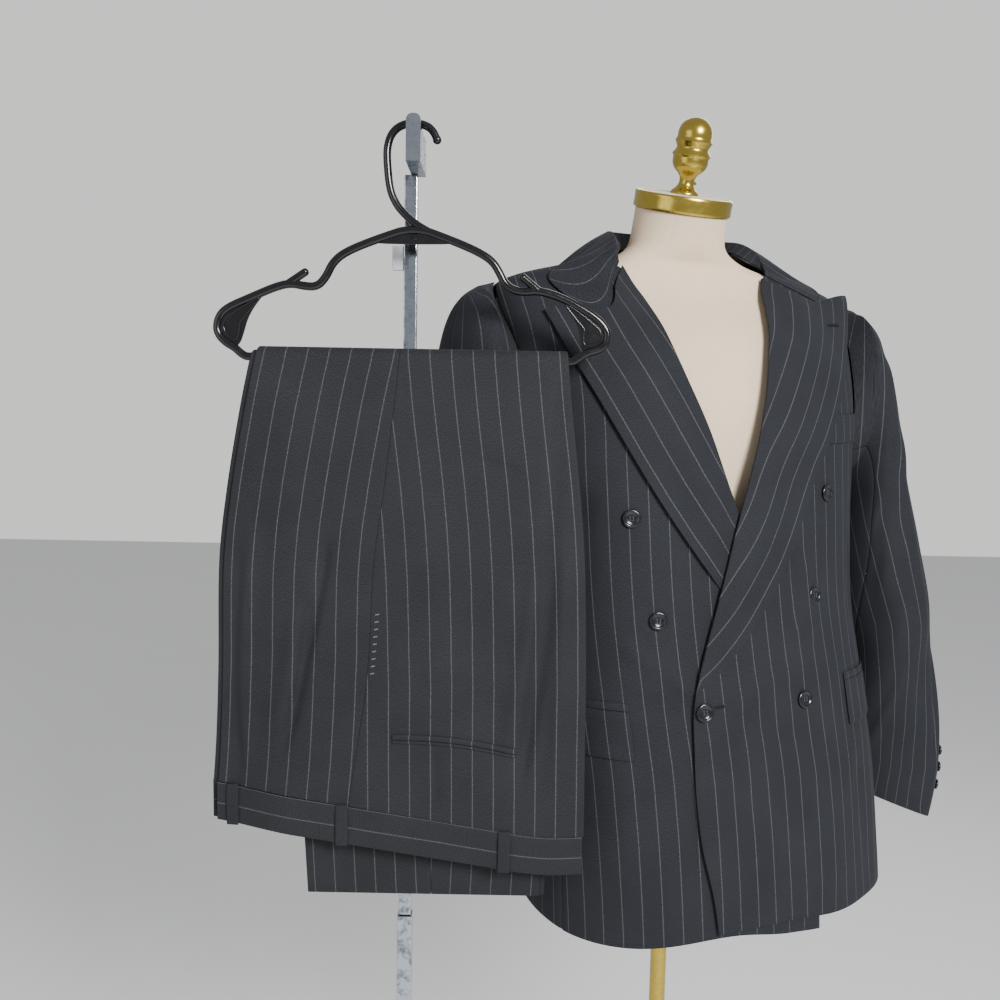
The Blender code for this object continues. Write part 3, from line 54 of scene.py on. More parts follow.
NECK_LEAN = math.radians(16.0)
CAP_RADIUS = 0.0590
CAP_HEIGHT = 0.0205
CAP_CENTRE = (-0.021, -0.0235, 1.6275)
TORSO_BOTTOM = 0.870
HANGER_Y = -0.207
WIRE_RADIUS = 0.0044
WEB_THICKNESS = 0.0030
BAR_HEIGHT = 1.4375
BAR_RISE = 0.0115
WAIST_RUN = 0.500
HEM_RUN = -(BAR_HEIGHT + BAR_RISE - 0.846)
OUTER_SHARE = 0.50
BEND_SHARE = 0.25
BACK_SHARE = 0.25
BAR_SHARE = 0.55
SWELL_EASE = 0.090
CUFF_BUTTON_START = 0.037
CUFF_BUTTON_PITCH = 0.0164
LOOP_WIDTH = 0.013
LOOP_LENGTH = 0.046
LOOP_PLACES = [-0.508, -0.388, -0.212]
WELT_ENDS = (-0.334, -0.200)
WELT_HEIGHT = 0.0100
WELT_MIDDLE = 1.033
WELT_FALL = 0.014
WELT_BOW = 0.004
# ---------------------------------------------------------------- tables
Ring = namedtuple("Ring", "height half_width front back shift_x shift_y square")
BODY = [
    Ring(0.680, 0.243, 0.168, 0.142, 0.038, -0.035, 2.35),
    Ring(0.800, 0.241, 0.167, 0.141, 0.036, -0.033, 2.35),
    Ring(0.950, 0.236, 0.163, 0.136, 0.027, -0.026, 2.35),
    Ring(1.050, 0.232, 0.158, 0.128, 0.018, -0.017, 2.35),
    Ring(1.170, 0.229, 0.151, 0.118, 0.008, -0.008, 2.30),
    Ring(1.300, 0.240, 0.152, 0.125, 0.000, 0.000, 2.25),
    Ring(1.400, 0.247, 0.142, 0.132, -0.002, 0.002, 2.20),
    Ring(1.470, 0.251, 0.119, 0.124, -0.003, 0.006, 2.10),
    Ring(1.510, 0.252, 0.090, 0.108, -0.003, 0.008, 2.00),
    Ring(1.531, 0.246, 0.070, 0.095, -0.003, 0.008, 1.95),
    Ring(1.545, 0.216, 0.060, 0.084, -0.004, 0.006, 1.90),
    Ring(1.557, 0.168, 0.054, 0.074, -0.006, 0.003, 1.90),
    Ring(1.567, 0.126, 0.052, 0.067, -0.009, 0.000, 1.95),
    Ring(1.576, 0.098, 0.053, 0.062, -0.012, -0.002, 2.00),
    Ring(1.586, 0.082, 0.054, 0.058, -0.014, -0.004, 2.00),
]

HemPoint = namedtuple("HemPoint", "angle height")
HEM = [
    HemPoint(-180, 0.790), HemPoint(-125, 0.792), HemPoint(-85, 0.788), HemPoint(-57, 0.785),
    HemPoint(-35, 0.797), HemPoint(-20, 0.788), HemPoint(-8, 0.784), HemPoint(5, 0.799),
    HemPoint(25, 0.806), HemPoint(45, 0.798), HemPoint(90, 0.790), HemPoint(135, 0.787),
    HemPoint(180, 0.790),
]

# The seam round the armhole, from the shoulder point down the front, under the arm and up the back.
ArmPoint = namedtuple("ArmPoint", "angle height")
ARMHOLE = [
    ArmPoint(90.0, 1.531), ArmPoint(80.0, 1.505), ArmPoint(71.0, 1.460), ArmPoint(67.5, 1.410),
    ArmPoint(69.0, 1.360), ArmPoint(76.0, 1.322), ArmPoint(86.0, 1.305), ArmPoint(97.0, 1.303),
    ArmPoint(108.0, 1.318), ArmPoint(117.0, 1.355), ArmPoint(119.5, 1.405), ArmPoint(116.0, 1.455),
    ArmPoint(105.0, 1.503),
]
FRONT_SEAM_ANGLE = 72.0        # front to side body, below the armhole
BACK_SEAM_ANGLE = 114.0        # side body to back

# Frontal lines of the two fronts, as x and height in the jacket's frame.
Line = namedtuple("Line", "x height")
LEFT_ROLL = [Line(-0.073, 1.075), Line(-0.037, 1.190), Line(-0.015, 1.273), Line(0.014, 1.357),
             Line(0.043, 1.450), Line(0.068, 1.510), Line(0.086, 1.552)]
LEFT_EDGE = [Line(-0.044, 0.770), Line(-0.054, 0.841), Line(-0.070, 0.915), Line(-0.076, 1.000),
             Line(-0.073, 1.075)]
LEFT_LAPEL = [Line(-0.072, 1.075), Line(-0.040, 1.100), Line(-0.007, 1.135), Line(0.020, 1.172),
              Line(0.062, 1.240), Line(0.096, 1.312), Line(0.122, 1.354), Line(0.154, 1.408),
              Line(0.186, 1.456), Line(0.212, 1.500), Line(0.224, 1.5260)]
LEFT_GORGE = [Line(0.086, 1.552), Line(0.118, 1.536), Line(0.150, 1.522), Line(0.188, 1.524),
              Line(0.224, 1.5260)]
RIGHT_ROLL = [Line(0.079, 1.085), Line(0.031, 1.185), Line(-0.015, 1.273), Line(-0.050, 1.363),
              Line(-0.076, 1.430), Line(-0.098, 1.515), Line(-0.110, 1.555)]
RIGHT_EDGE = [Line(0.094, 0.770), Line(0.091, 0.880), Line(0.085, 0.990), Line(0.079, 1.085)]
RIGHT_LAPEL = [Line(0.077, 1.088), Line(0.018, 1.138), Line(-0.039, 1.192), Line(-0.102, 1.276),
               Line(-0.150, 1.357), Line(-0.193, 1.444), Line(-0.213, 1.4975)]
RIGHT_GORGE = [Line(-0.110, 1.555), Line(-0.128, 1.527), Line(-0.146, 1.4990), Line(-0.184, 1.5030),
               Line(-0.213, 1.4975)]

# How far the overlapping left front lies out over the right one, by distance past the right edge.
OVERLAP_LIFT = 0.0053
OVERLAP_EASE = 0.090

ButtonSpot = namedtuple("ButtonSpot", "name panel x height")
FRONT_BUTTONS = [
    ButtonSpot("button_right_top", "right", -0.140, 1.270),
    ButtonSpot("button_right_middle", "right", -0.110, 1.156),
    ButtonSpot("button_fastened", "left", -0.0625, 1.054),
    ButtonSpot("button_left_top", "left", 0.124, 1.294),
    ButtonSpot("button_left_middle", "left", 0.098, 1.174),
    ButtonSpot("button_left_bottom", "left", 0.071, 1.057),
]

# Half of the collar, from the middle of the back to the gorge: the seam on the neck edge as an
# angle and height on the body, the fold as a free point, the outer edge as an angle and height, and
# how far the middle of the fall dips below the straight line between them.
CollarRow = namedtuple("CollarRow", "seam_angle seam_z fold_x fold_y fold_z edge_angle edge_z dip")
COLLAR = [
    CollarRow(180, 1.5865, 0.000, 0.071, 1.613, 180, 1.5530, -0.003),
    CollarRow(150, 1.5865, 0.046, 0.061, 1.612, 152, 1.5530, -0.003),
    CollarRow(118, 1.5865, 0.080, 0.033, 1.607, 120, 1.5560, -0.003),
    CollarRow(88, 1.5865, 0.093, -0.003, 1.600, 89, 1.5600, -0.003),
    CollarRow(63, 1.5725, 0.101, -0.027, 1.584, 67, 1.5520, -0.001),
    CollarRow(42, 1.5580, 0.104, -0.040, 1.561, 46.5, 1.5120, 0.020),
]
COLLAR_MIDDLE = -0.010
COLLAR_CLEARANCE = 0.0036
LEFT_NOTCH_RAISE = 0.016       # the left gorge ends higher than the right one

# Sleeves: each section joins an outer and an inner point, is as deep as its fore and aft reach, and
# is turned about its own middle by the twist (degrees, the back of the sleeve towards the outside).
SleeveRow = namedtuple("SleeveRow", "outer_x outer_z inner_x inner_z mid_y fore aft twist")
LEFT_SLEEVE = [
    SleeveRow(0.266, 1.5260, 0.2500, 1.2960, 0.004, 0.078, 0.076, 0),
    SleeveRow(0.280, 1.5140, 0.2520, 1.2880, 0.004, 0.080, 0.078, 0),
    SleeveRow(0.293, 1.4920, 0.2540, 1.2740, 0.003, 0.081, 0.079, 0),
    SleeveRow(0.306, 1.4530, 0.2550, 1.2500, 0.002, 0.081, 0.080, 0),
    SleeveRow(0.318, 1.3950, 0.2555, 1.2150, -0.002, 0.078, 0.078, 4),
    SleeveRow(0.335, 1.3200, 0.2590, 1.1750, -0.008, 0.074, 0.074, 12),
    SleeveRow(0.361, 1.2300, 0.2670, 1.1250, -0.018, 0.067, 0.067, 32),
    SleeveRow(0.384, 1.1400, 0.2870, 1.0700, -0.028, 0.063, 0.063, 62),
    SleeveRow(0.387, 1.0500, 0.3010, 1.0100, -0.033, 0.065, 0.065, 90),
    SleeveRow(0.386, 0.9700, 0.3060, 0.9500, -0.036, 0.067, 0.067, 112),
    SleeveRow(0.381, 0.9000, 0.3060, 0.9050, -0.037, 0.067, 0.067, 125),
    SleeveRow(0.370, 0.8350, 0.2980, 0.8640, -0.038, 0.066, 0.066, 130),
]
RIGHT_SLEEVE = [
    SleeveRow(0.272, 1.5270, 0.2500, 1.2960, 0.004, 0.078, 0.076, 0),
    SleeveRow(0.290, 1.5150, 0.2520, 1.2880, 0.004, 0.080, 0.078, 0),
    SleeveRow(0.303, 1.4940, 0.2540, 1.2740, 0.003, 0.081, 0.079, 0),
    SleeveRow(0.313, 1.4550, 0.2550, 1.2500, 0.002, 0.081, 0.080, 0),
    SleeveRow(0.319, 1.3950, 0.2555, 1.2150, 0.008, 0.078, 0.080, 0),
    SleeveRow(0.322, 1.3200, 0.2560, 1.1750, 0.016, 0.074, 0.078, 5),
    SleeveRow(0.323, 1.2300, 0.2540, 1.1250, 0.024, 0.070, 0.074, 10),
    SleeveRow(0.322, 1.1400, 0.2510, 1.0700, 0.028, 0.068, 0.070, 15),
    SleeveRow(0.317, 1.0550, 0.2480, 1.0100, 0.028, 0.066, 0.068, 20),
    SleeveRow(0.308, 0.9700, 0.2420, 0.9500, 0.026, 0.065, 0.067, 25),
    SleeveRow(0.302, 0.9100, 0.2380, 0.9100, 0.022, 0.064, 0.066, 30),
    SleeveRow(0.298, 0.8550, 0.2350, 0.8700, 0.018, 0.063, 0.065, 30),
]
ARMHOLE_LAY = 0.0021           # from the body's cloth to the start of the sleeve's inner face
SLEEVE_FRONT_SEAM = 125.0      # degrees round the sleeve from its outside towards its front
SLEEVE_BACK_SEAM = 250.0
SLEEVE_RADIUS = 0.055          # mean radius, to turn a seam's gap into an angle

# Pocket flaps: where one starts, its width along the cloth (minus towards the right), the height of
# its top edge, its drop and the slant of its edges.  The breast welt is a range of x, a range of
# height and a slant.
Flap = namedtuple("Flap", "start_x width top drop slant")
RIGHT_FLAP = Flap(-0.142, -0.150, 1.0540, 0.0540, 0.004)
LEFT_FLAP = Flap(0.150, 0.150, 1.0660, 0.0530, -0.006)
JET_HEIGHT = 0.0090
BREAST_WELT = (0.112, 0.213, 1.351, 1.385, 0.003)

# Trousers: edges of the folded legs and the side seam by height on the front drop.
LegRow = namedtuple("LegRow", "height left seam right swell")
FRONT_DROP = [
    LegRow(1.4490, -0.479, -0.330, -0.155, 0.0000),
    LegRow(1.3880, -0.492, -0.336, -0.149, 0.0010),
    LegRow(1.3000, -0.507, -0.346, -0.138, 0.0025),
    LegRow(1.2200, -0.516, -0.356, -0.131, 0.0040),
    LegRow(1.1100, -0.518, -0.361, -0.127, 0.0060),
    LegRow(1.0300, -0.521, -0.371, -0.126, 0.0080),
    LegRow(0.9600, -0.526, -0.381, -0.125, 0.0100),
    LegRow(0.8800, -0.533, -0.388, -0.124, 0.0110),
]
BACK_DROP = [
    LegRow(1.4490, -0.479, -0.330, -0.155, 0.0000),
    LegRow(1.3400, -0.474, -0.322, -0.152, 0.0010),
    LegRow(1.1500, -0.452, -0.305, -0.154, 0.0015),
    LegRow(0.9800, -0.433, -0.292, -0.160, 0.0010),
    LegRow(0.8470, -0.424, -0.286, -0.166, 0.0000),
]
LEG_DEPTH = 0.0032             # a folded leg, face to face
LEG_LAY = 0.0005               # between the two legs, and between the legs and the bar
WAIST_SEAM = [Line(-0.530, 0.9790), Line(-0.390, 0.9580), Line(-0.238, 0.9350),
              Line(-0.165, 0.9230),
              Line(-0.124, 0.9230)]
WAISTBAND = 0.0420
LEFT_LEG_SHIFT = -0.006
CROTCH_DROP = 0.250            # from the waist seam to the fork

HANGER_FRAME = [
    (-0.317, 1.575), (-0.276, 1.561), (-0.249, 1.550), (-0.235, 1.541), (-0.228, 1.530),
                (-0.222, 1.518),
    (-0.213, 1.512), (-0.202, 1.510), (-0.187, 1.512), (-0.165, 1.506), (-0.146, 1.497),
                (-0.124, 1.484),
    (-0.113, 1.471), (-0.114, 1.459), (-0.122, 1.4515), (-0.136, 1.4480), (-0.146, 1.4400),
    (-0.153, BAR_HEIGHT), (-0.317, BAR_HEIGHT), (-0.490, BAR_HEIGHT), (-0.497, 1.4400),
                (-0.505, 1.4475),
    (-0.513, 1.4515), (-0.521, 1.4590), (-0.524, 1.468), (-0.521, 1.480), (-0.512, 1.489),
    (-0.487, 1.500), (-0.462, 1.511), (-0.446, 1.515), (-0.431, 1.512), (-0.418, 1.512),
                (-0.409, 1.522),
    (-0.402, 1.537), (-0.389, 1.548), (-0.358, 1.561),
]
HANGER_HOOK = [
    (-0.2945, 1.663), (-0.298, 1.671), (-0.305, 1.677), (-0.319, 1.680), (-0.333, 1.6765),
               (-0.342, 1.668),
    (-0.346, 1.655), (-0.346, 1.640), (-0.343, 1.612), (-0.336, 1.597), (-0.327, 1.587),
               (-0.315, 1.577),
    (-0.300, 1.569),
]
HANGER_TIPS = [
    [(-0.187, 1.512), (-0.203, 1.525)],
    [(-0.448, 1.515), (-0.431, 1.5265)],
]
HANGER_PADDLES = [
    [(-0.166, 1.506), (-0.146, 1.497), (-0.124, 1.484), (-0.113, 1.471), (-0.114, 1.459),
     (-0.122, 1.4515),
     (-0.136, 1.4480), (-0.1395, 1.4510), (-0.142, 1.462), (-0.144, 1.475), (-0.152, 1.488)],
    [(-0.505, 1.4475), (-0.513, 1.4515), (-0.521, 1.4590), (-0.524, 1.468), (-0.521, 1.480),
     (-0.512, 1.489),
     (-0.487, 1.500), (-0.470, 1.5075), (-0.483, 1.492), (-0.491, 1.478), (-0.495, 1.464),
     (-0.499, 1.4520)],
]
HANGER_WEB = [(-0.363, 1.5565), (-0.271, 1.5575), (-0.276, 1.561), (-0.317, 1.577), (-0.358, 1.561)]


# ---------------------------------------------------------------- curves through table rows
def ease(t):
    t = np.clip(t, 0.0, 1.0)
    return t * t * (3 - 2 * t)


def spline(rows, at):
    """Smooth values of every column of a table at row numbers `at` (Catmull-Rom)."""
    table = np.array(rows, dtype=float)
    at = np.clip(np.asarray(at, dtype=float), 0, len(table) - 1)
    i = np.minimum(at.astype(int), len(table) - 2)
    t = (at - i)[..., None]
    p0, p1 = table[np.maximum(i - 1, 0)], table[i]
    p2, p3 = table[i + 1], table[np.minimum(i + 2, len(table) - 1)]
    return 0.5 * (2 * p1 + (p2 - p0) * t + (2 * p0 - 5 * p1 + 4 * p2 - p3) * t ** 2
                  + (3 * p1 - p0 - 3 * p2 + p3) * t ** 3)


def sampled(rows, steps=16):
    return spline(rows, np.arange((len(rows) - 1) * steps + 1) / steps)


def lookup(samples, key, value):
    """Read a sampled table by one of its columns, which may run either way."""
    if samples[0, key] > samples[-1, key]:
        samples = samples[::-1]
    return lambda at: np.interp(at, samples[:, key], samples[:, value])


def unit(vectors):
    return vectors / np.maximum(np.linalg.norm(vectors, axis=-1, keepdims=True), 1e-12)


# ---------------------------------------------------------------- creases, given one by one
Fold = namedtuple("Fold", "x0 z0 x1 z1 width depth bow")


def relief(folds, x, z):
    """Height of the cloth over its smooth face: each fold is a soft ridge, or a trough where depth is negative,
    along a line that bows sideways and fades out at both ends."""
    total = np.zeros_like(x)
    for fold in folds:
        run = np.array([fold.x1 - fold.x0, fold.z1 - fold.z0])
        length = np.hypot(*run)
        dx, dz = x - fold.x0, z - fold.z0
        t = (dx * run[0] + dz * run[1]) / length ** 2
        off = (dx * run[1] - dz * run[0]) / length - fold.bow * np.sin(np.pi * np.clip(t, 0, 1))
        fade = ease((t + 0.12) / 0.30) * ease((1.12 - t) / 0.30)
        total += fold.depth * np.exp(-(off / fold.width) ** 2) * fade
    return total


def undulation(x, z, size, seed):
    """A faint unevenness that no pressed cloth is without."""
    return size * (np.sin(31 * x + 13 * z + seed) * np.sin(9 * z - 17 * x + 2.1 * seed)
                   + 0.6 * np.sin(57 * x - 23 * z + 3.7 * seed) * np.sin(21 * z + seed))


# ---------------------------------------------------------------- the jacket's body surface
class Body:
    """The outer face of the jacket's body: super-elliptic rings stacked by height, kept on a fine grid."""

    def __init__(self):
        table = sampled(BODY)
        self.heights = np.arange(BODY[0].height, BODY[-1].height + 0.0005, 0.001)
        self.angles = np.linspace(-180, 180, 721)
        self.rows = np.array([np.interp(self.heights, table[:, 0], table[:, c])
                              for c in range(1, 7)])
        half_width, front, back, shift_x, shift_y, square = self.rows[:, :, None]
        turn = np.radians(self.angles)[None, :]
        side, fore = np.sin(turn), -np.cos(turn)
        x = half_width * np.sign(side) * np.abs(side) ** (2 / square)
        y = np.where(fore < 0, front, back) * np.sign(fore) * np.abs(fore) ** (2 / square)
        steps = np.hypot(np.diff(x, axis=1), np.diff(y, axis=1))
        run = np.concatenate([np.zeros((len(x), 1)), np.cumsum(steps, axis=1)], axis=1)
        self.arcs = run - run[:, 360:361]
        self.x, self.y = x + shift_x, y + shift_y
        self.span = self.arcs[:, -1]
        self.share = np.linspace(-1, 1, 721)
        self.by_arc = np.array([np.interp(self.share * span, arcs, self.angles)
                                for arcs, span in zip(self.arcs, self.span)])
        face = slice(180, 541)
        self.low, self.high = self.x[:, 180], self.x[:, 540]
        self.by_x = np.array([np.interp(low + (self.share + 1) / 2 * (high - low), xs[face],
                                        self.angles[face])
                              for xs, low, high in zip(self.x, self.low, self.high)])

    def read(self, grid, column, height):
        """Two-way interpolation in a grid of (height, column)."""
        row = np.clip((height - self.heights[0]) / 0.001, 0, len(self.heights) - 1.001)
        column = np.clip(column, 0, grid.shape[1] - 1.001)
        i, j = row.astype(int), column.astype(int)
        s, t = row - i, column - j
        return ((grid[i, j] * (1 - t) + grid[i, j + 1] * t) * (1 - s)
                + (grid[i + 1, j] * (1 - t) + grid[i + 1, j + 1] * t) * s)

    def column(self, angle):
        return ((angle + 180) % 360) * 2

    def face(self, angle, height):
        column = self.column(angle)
        return np.stack([self.read(self.x, column, height), self.read(self.y, column, height),
                         height], -1)

    def point(self, angle, height, out=0.0):
        across = self.face(angle + 2.0, height) - self.face(angle - 2.0, height)
        up = self.face(angle, height + 0.003) - self.face(angle, height - 0.003)
        return self.face(angle, height) + unit(np.cross(across, up)) * np.asarray(out)[..., None]

    def arc(self, angle, height):
        return self.read(self.arcs, (angle + 180) * 2, height)

    def angle_at_arc(self, arc, height):
        span = np.interp(height, self.heights, self.span)
        return self.read(self.by_arc, (arc / span + 1) * 360, height)

    def angle_at_x(self, x, height):
        low = np.interp(height, self.heights, self.low)
        high = np.interp(height, self.heights, self.high)
        return self.read(self.by_x, np.clip((x - low) / (high - low), 0, 1) * 720, height)

    def covers(self, x, y, height):
        """Whether a point is inside the ring at its height."""
        half_width, front, back, shift_x, shift_y, square = [np.interp(height, self.heights, r)
                                                             for r in self.rows]
        deep = np.where(y < shift_y, front, back)
        return np.abs((x - shift_x) / half_width) ** square + np.abs((y - shift_y) / deep) ** square < 1


JACKET = Body()
NECK_TOP = BODY[-1].height
SHOULDER_POINT = ARMHOLE[0].height
hem_height = lookup(sampled(HEM), 0, 1)


def armhole_loop(turn):
    """Angle and height on the left armhole, for a turn of 0 to 1 from the shoulder point to the front."""
    return spline(ARMHOLE[-2:] + ARMHOLE + ARMHOLE[:3], 2 + (turn % 1.0) * len(ARMHOLE))


ARM_LOOP = armhole_loop(np.arange(121) / 120)
LOWEST = int(ARM_LOOP[:, 1].argmin())
UNDER_SPAN = 22
armhole_front = lookup(ARM_LOOP[:LOWEST + 1], 1, 0)
armhole_back = lookup(ARM_LOOP[LOWEST:], 1, 0)
armhole_under = lookup(ARM_LOOP[LOWEST - UNDER_SPAN:LOWEST + UNDER_SPAN], 0, 1)

left_roll_x, left_edge_x, right_roll_x, right_edge_x = [
    lookup(sampled(rows), 1, 0) for rows in (LEFT_ROLL, LEFT_EDGE, RIGHT_ROLL, RIGHT_EDGE)]


def front_boundary(side, height):
    """x of a front's free edge: the front edge up to the break of the lapel, then the roll line."""
    edge, roll, break_height = ((left_edge_x, left_roll_x, LEFT_ROLL[0].height) if side > 0
                                else (right_edge_x, right_roll_x, RIGHT_ROLL[0].height))
    return np.where(height < break_height, edge(height), roll(height))


def front_lift(side, x, height):
    """How far the left front stands out: full over the right front, easing to nothing past its edge."""
    if side < 0:
        return np.zeros_like(x)
    return OVERLAP_LIFT * (1 - ease((x - front_boundary(-1, height) - 0.004) / OVERLAP_EASE))


def front_free_angle(side, height):
    """Angle of the free edge.  Above the gorge it runs back to the neck point at the shoulder seam."""
    top = LEFT_ROLL[-1].height
    below = JACKET.angle_at_x(front_boundary(side, np.minimum(height, top)),
                              np.minimum(height, top))
    return below + (side * 86.0 - below) * np.clip((height - top) / (NECK_TOP - top), 0, 1)


def front_seam_angle(height):
    low = armhole_under(FRONT_SEAM_ANGLE)
    return np.where(height < low, FRONT_SEAM_ANGLE, np.where(height < SHOULDER_POINT,
                                                             armhole_front(height), 90.0))


def back_seam_angle(height):
    low = armhole_under(BACK_SEAM_ANGLE)
    return np.where(height < low, BACK_SEAM_ANGLE, np.where(height < SHOULDER_POINT,
                                                            armhole_back(height), 90.0))


def row_height(angle, b, top):
    """Heights crowd together towards the shoulder, where the rings shrink fast."""
    bottom = hem_height(angle)
    return bottom + (top - bottom) * np.minimum(b + 0.26 * np.sin(np.pi * b) * b, 1.0)


# Creases of the jacket's body: arc length from the middle of the front, and height.
BODY_FOLDS = [
    Fold(-0.075, 1.064, -0.165, 1.125, 0.010, 0.0028, 0.004),
    Fold(-0.085, 1.046, -0.190, 1.068, 0.012, -0.0022, 0.003),
    Fold(-0.060, 1.035, -0.150, 0.985, 0.014, 0.0020, -0.004),
    Fold(-0.050, 1.060, 0.060, 1.100, 0.012, 0.0018, 0.003),
    Fold(-0.046, 1.042, 0.050, 1.010, 0.016, -0.0014, -0.004),
    Fold(0.066, 1.232, 0.052, 1.140, 0.010, -0.0040, 0.003),
    Fold(0.084, 1.225, 0.076, 1.120, 0.012, 0.0026, 0.002),
    Fold(0.215, 1.290, 0.190, 1.120, 0.016, -0.0030, 0.006),
    Fold(0.255, 1.240, 0.238, 1.070, 0.014, 0.0026, -0.005),
    Fold(-0.200, 1.300, -0.215, 1.150, 0.014, -0.0030, -0.006),
    Fold(-0.245, 1.250, -0.235, 1.060, 0.016, 0.0024, 0.005),
    Fold(-0.175, 1.000, -0.190, 0.830, 0.020, 0.0022, 0.004),
    Fold(-0.030, 0.980, -0.050, 0.800, 0.022, -0.0020, 0.006),
    Fold(0.060, 0.990, 0.075, 0.820, 0.024, 0.0022, -0.006),
    Fold(0.150, 0.970, 0.170, 0.810, 0.020, -0.0020, 0.004),
    Fold(0.300, 1.020, 0.310, 0.830, 0.024, 0.0024, 0.005),
    Fold(-0.300, 1.010, -0.305, 0.820, 0.022, -0.0022, -0.004),
    Fold(0.420, 1.240, 0.440, 1.090, 0.016, -0.0030, 0.006),
    Fold(0.500, 1.190, 0.470, 1.060, 0.018, 0.0028, -0.006),
    Fold(-0.410, 1.260, -0.435, 1.100, 0.015, -0.0028, -0.005),
    Fold(-0.505, 1.200, -0.480, 1.040, 0.019, 0.0030, 0.007),
    Fold(0.450, 1.000, 0.465, 0.830, 0.024, -0.0022, 0.005),
    Fold(-0.460, 0.990, -0.470, 0.820, 0.021, 0.0024, -0.004),
]
# Creases of the sleeves: turn round the sleeve (0 is its outside, a quarter its front) and length
# from the armhole.
SLEEVE_FOLDS = {
    1: [Fold(0.030, 0.030, 0.060, 0.130, 0.016, -0.0030, 0.006), Fold(0.160, 0.100, 0.060, 0.200,
                                                                      0.022, -0.0034, 0.010),
        Fold(0.250, 0.220, 0.120, 0.300, 0.024, 0.0040, 0.012), Fold(0.330, 0.290, 0.180, 0.355,
                                                                     0.022, -0.0042, -0.010),
        Fold(0.300, 0.350, 0.150, 0.420, 0.022, 0.0036, 0.010), Fold(-0.080, 0.300, -0.180, 0.380,
                                                                     0.024, -0.0036, 0.010),
        Fold(-0.130, 0.480, -0.170, 0.600, 0.020, -0.0030, 0.006), Fold(0.080, 0.470, 0.110, 0.600,
                                                                        0.022, 0.0026, -0.006),
        Fold(0.440, 0.180, 0.480, 0.300, 0.022, -0.0034, 0.008), Fold(-0.300, 0.200, -0.360, 0.330,
                                                                      0.022, 0.0032, -0.008),
        Fold(-0.400, 0.400, -0.440, 0.540, 0.022, -0.0030, 0.008)],
    -1: [Fold(0.040, 0.030, 0.070, 0.120, 0.016, -0.0026, -0.006), Fold(0.200, 0.140, 0.090, 0.230,
                                                                        0.022, -0.0036, -0.010),
         Fold(0.280, 0.240, 0.130, 0.310, 0.022, 0.0038, 0.010), Fold(0.300, 0.310, 0.160, 0.370,
                                                                      0.024, -0.0040, 0.010),
         Fold(0.050, 0.420, 0.090, 0.570, 0.022, 0.0028, 0.006), Fold(-0.150, 0.330, -0.220, 0.440,
                                                                      0.022, -0.0030, -0.008),
         Fold(-0.300, 0.180, -0.330, 0.300, 0.024, 0.0030, 0.008),
         Fold(-0.420, 0.400, -0.450, 0.560, 0.022, -0.0028, -0.006)],
}
# Creases of the lapels: x and height on the chest.
LAPEL_FOLDS = {
    1: [Fold(0.150, 1.440, 0.110, 1.340, 0.018, 0.0010, 0.004), Fold(0.060, 1.330, 0.020, 1.240,
                                                                     0.014, -0.0010, 0.003)],
    -1: [Fold(-0.150, 1.440, -0.110, 1.350, 0.018, 0.0010, 0.004),
         Fold(-0.070, 1.330, -0.030, 1.250, 0.014, -0.0008, 0.003)],
}
# Creases of the outer trouser leg: x, and length of cloth from the top of the bar.
BAR_TOP = BAR_HEIGHT + 0.0115
TROUSER_FOLDS = [
    Fold(-0.502, BAR_TOP - 1.224, -0.503, BAR_TOP - 0.985, 0.0085, -0.0058, -0.009),
    Fold(-0.488, BAR_TOP - 1.250, -0.492, BAR_TOP - 1.000, 0.0100, 0.0027, -0.006),
    Fold(-0.406, BAR_TOP - 1.240, -0.428, BAR_TOP - 1.120, 0.0060, -0.0051, 0.001),
    Fold(-0.424, BAR_TOP - 1.180, -0.451, BAR_TOP - 1.020, 0.0065, -0.0058, 0.005),
    Fold(-0.438, BAR_TOP - 1.170, -0.462, BAR_TOP - 1.040, 0.0110, 0.0034, 0.004),
    Fold(-0.244, BAR_TOP - 1.330, -0.204, BAR_TOP - 1.322, 0.0050, -0.0017, 0.001),
    Fold(-0.164, BAR_TOP - 1.410, -0.170, BAR_TOP - 1.230, 0.0060, -0.0044, 0.001),
    Fold(-0.169, BAR_TOP - 1.245, -0.195, BAR_TOP - 0.990, 0.0070, -0.0085, 0.004),
    Fold(-0.182, BAR_TOP - 1.220, -0.212, BAR_TOP - 1.020, 0.0110, 0.0037, 0.003),
    Fold(-0.152, BAR_TOP - 1.230, -0.160, BAR_TOP - 0.990, 0.0090, 0.0044, 0.002),
    Fold(-0.300, BAR_TOP - 1.290, -0.290, BAR_TOP - 1.110, 0.0260, 0.0027, 0.004),
    Fold(-0.452, BAR_TOP - 1.400, -0.455, BAR_TOP - 1.260, 0.0220, 0.0020, 0.004),
    Fold(-0.288, BAR_TOP - 1.024, -0.286, BAR_TOP - 0.960, 0.0030, -0.0015, 0.000),
]


def drape(arc, height):
    """Relief of the jacket's body, level beside the armholes and at the neck, where other pieces lie close."""
    calm = 0.25 + 0.75 * ease((1.30 - height) / 0.12)
    return relief(BODY_FOLDS, arc, height) + undulation(arc, height, 0.0006, 1.3) * calm


def trouser_drape(x, run):
    shown = ease((run - 0.004) / 0.03)
    return (relief(TROUSER_FOLDS, x, run) + undulation(x, run, 0.0003, 4.1)) * shown


# ---------------------------------------------------------------- jacket surfaces: (a, b, out) to points and cloth coordinates
def seam_dip(a, width, depth=0.0006, reach=0.005):
    """Cloth turns in a little where two pieces are sewn together."""
    edge = np.minimum(a, 1 - a) * width
    return -depth * (1 - ease(edge / reach))


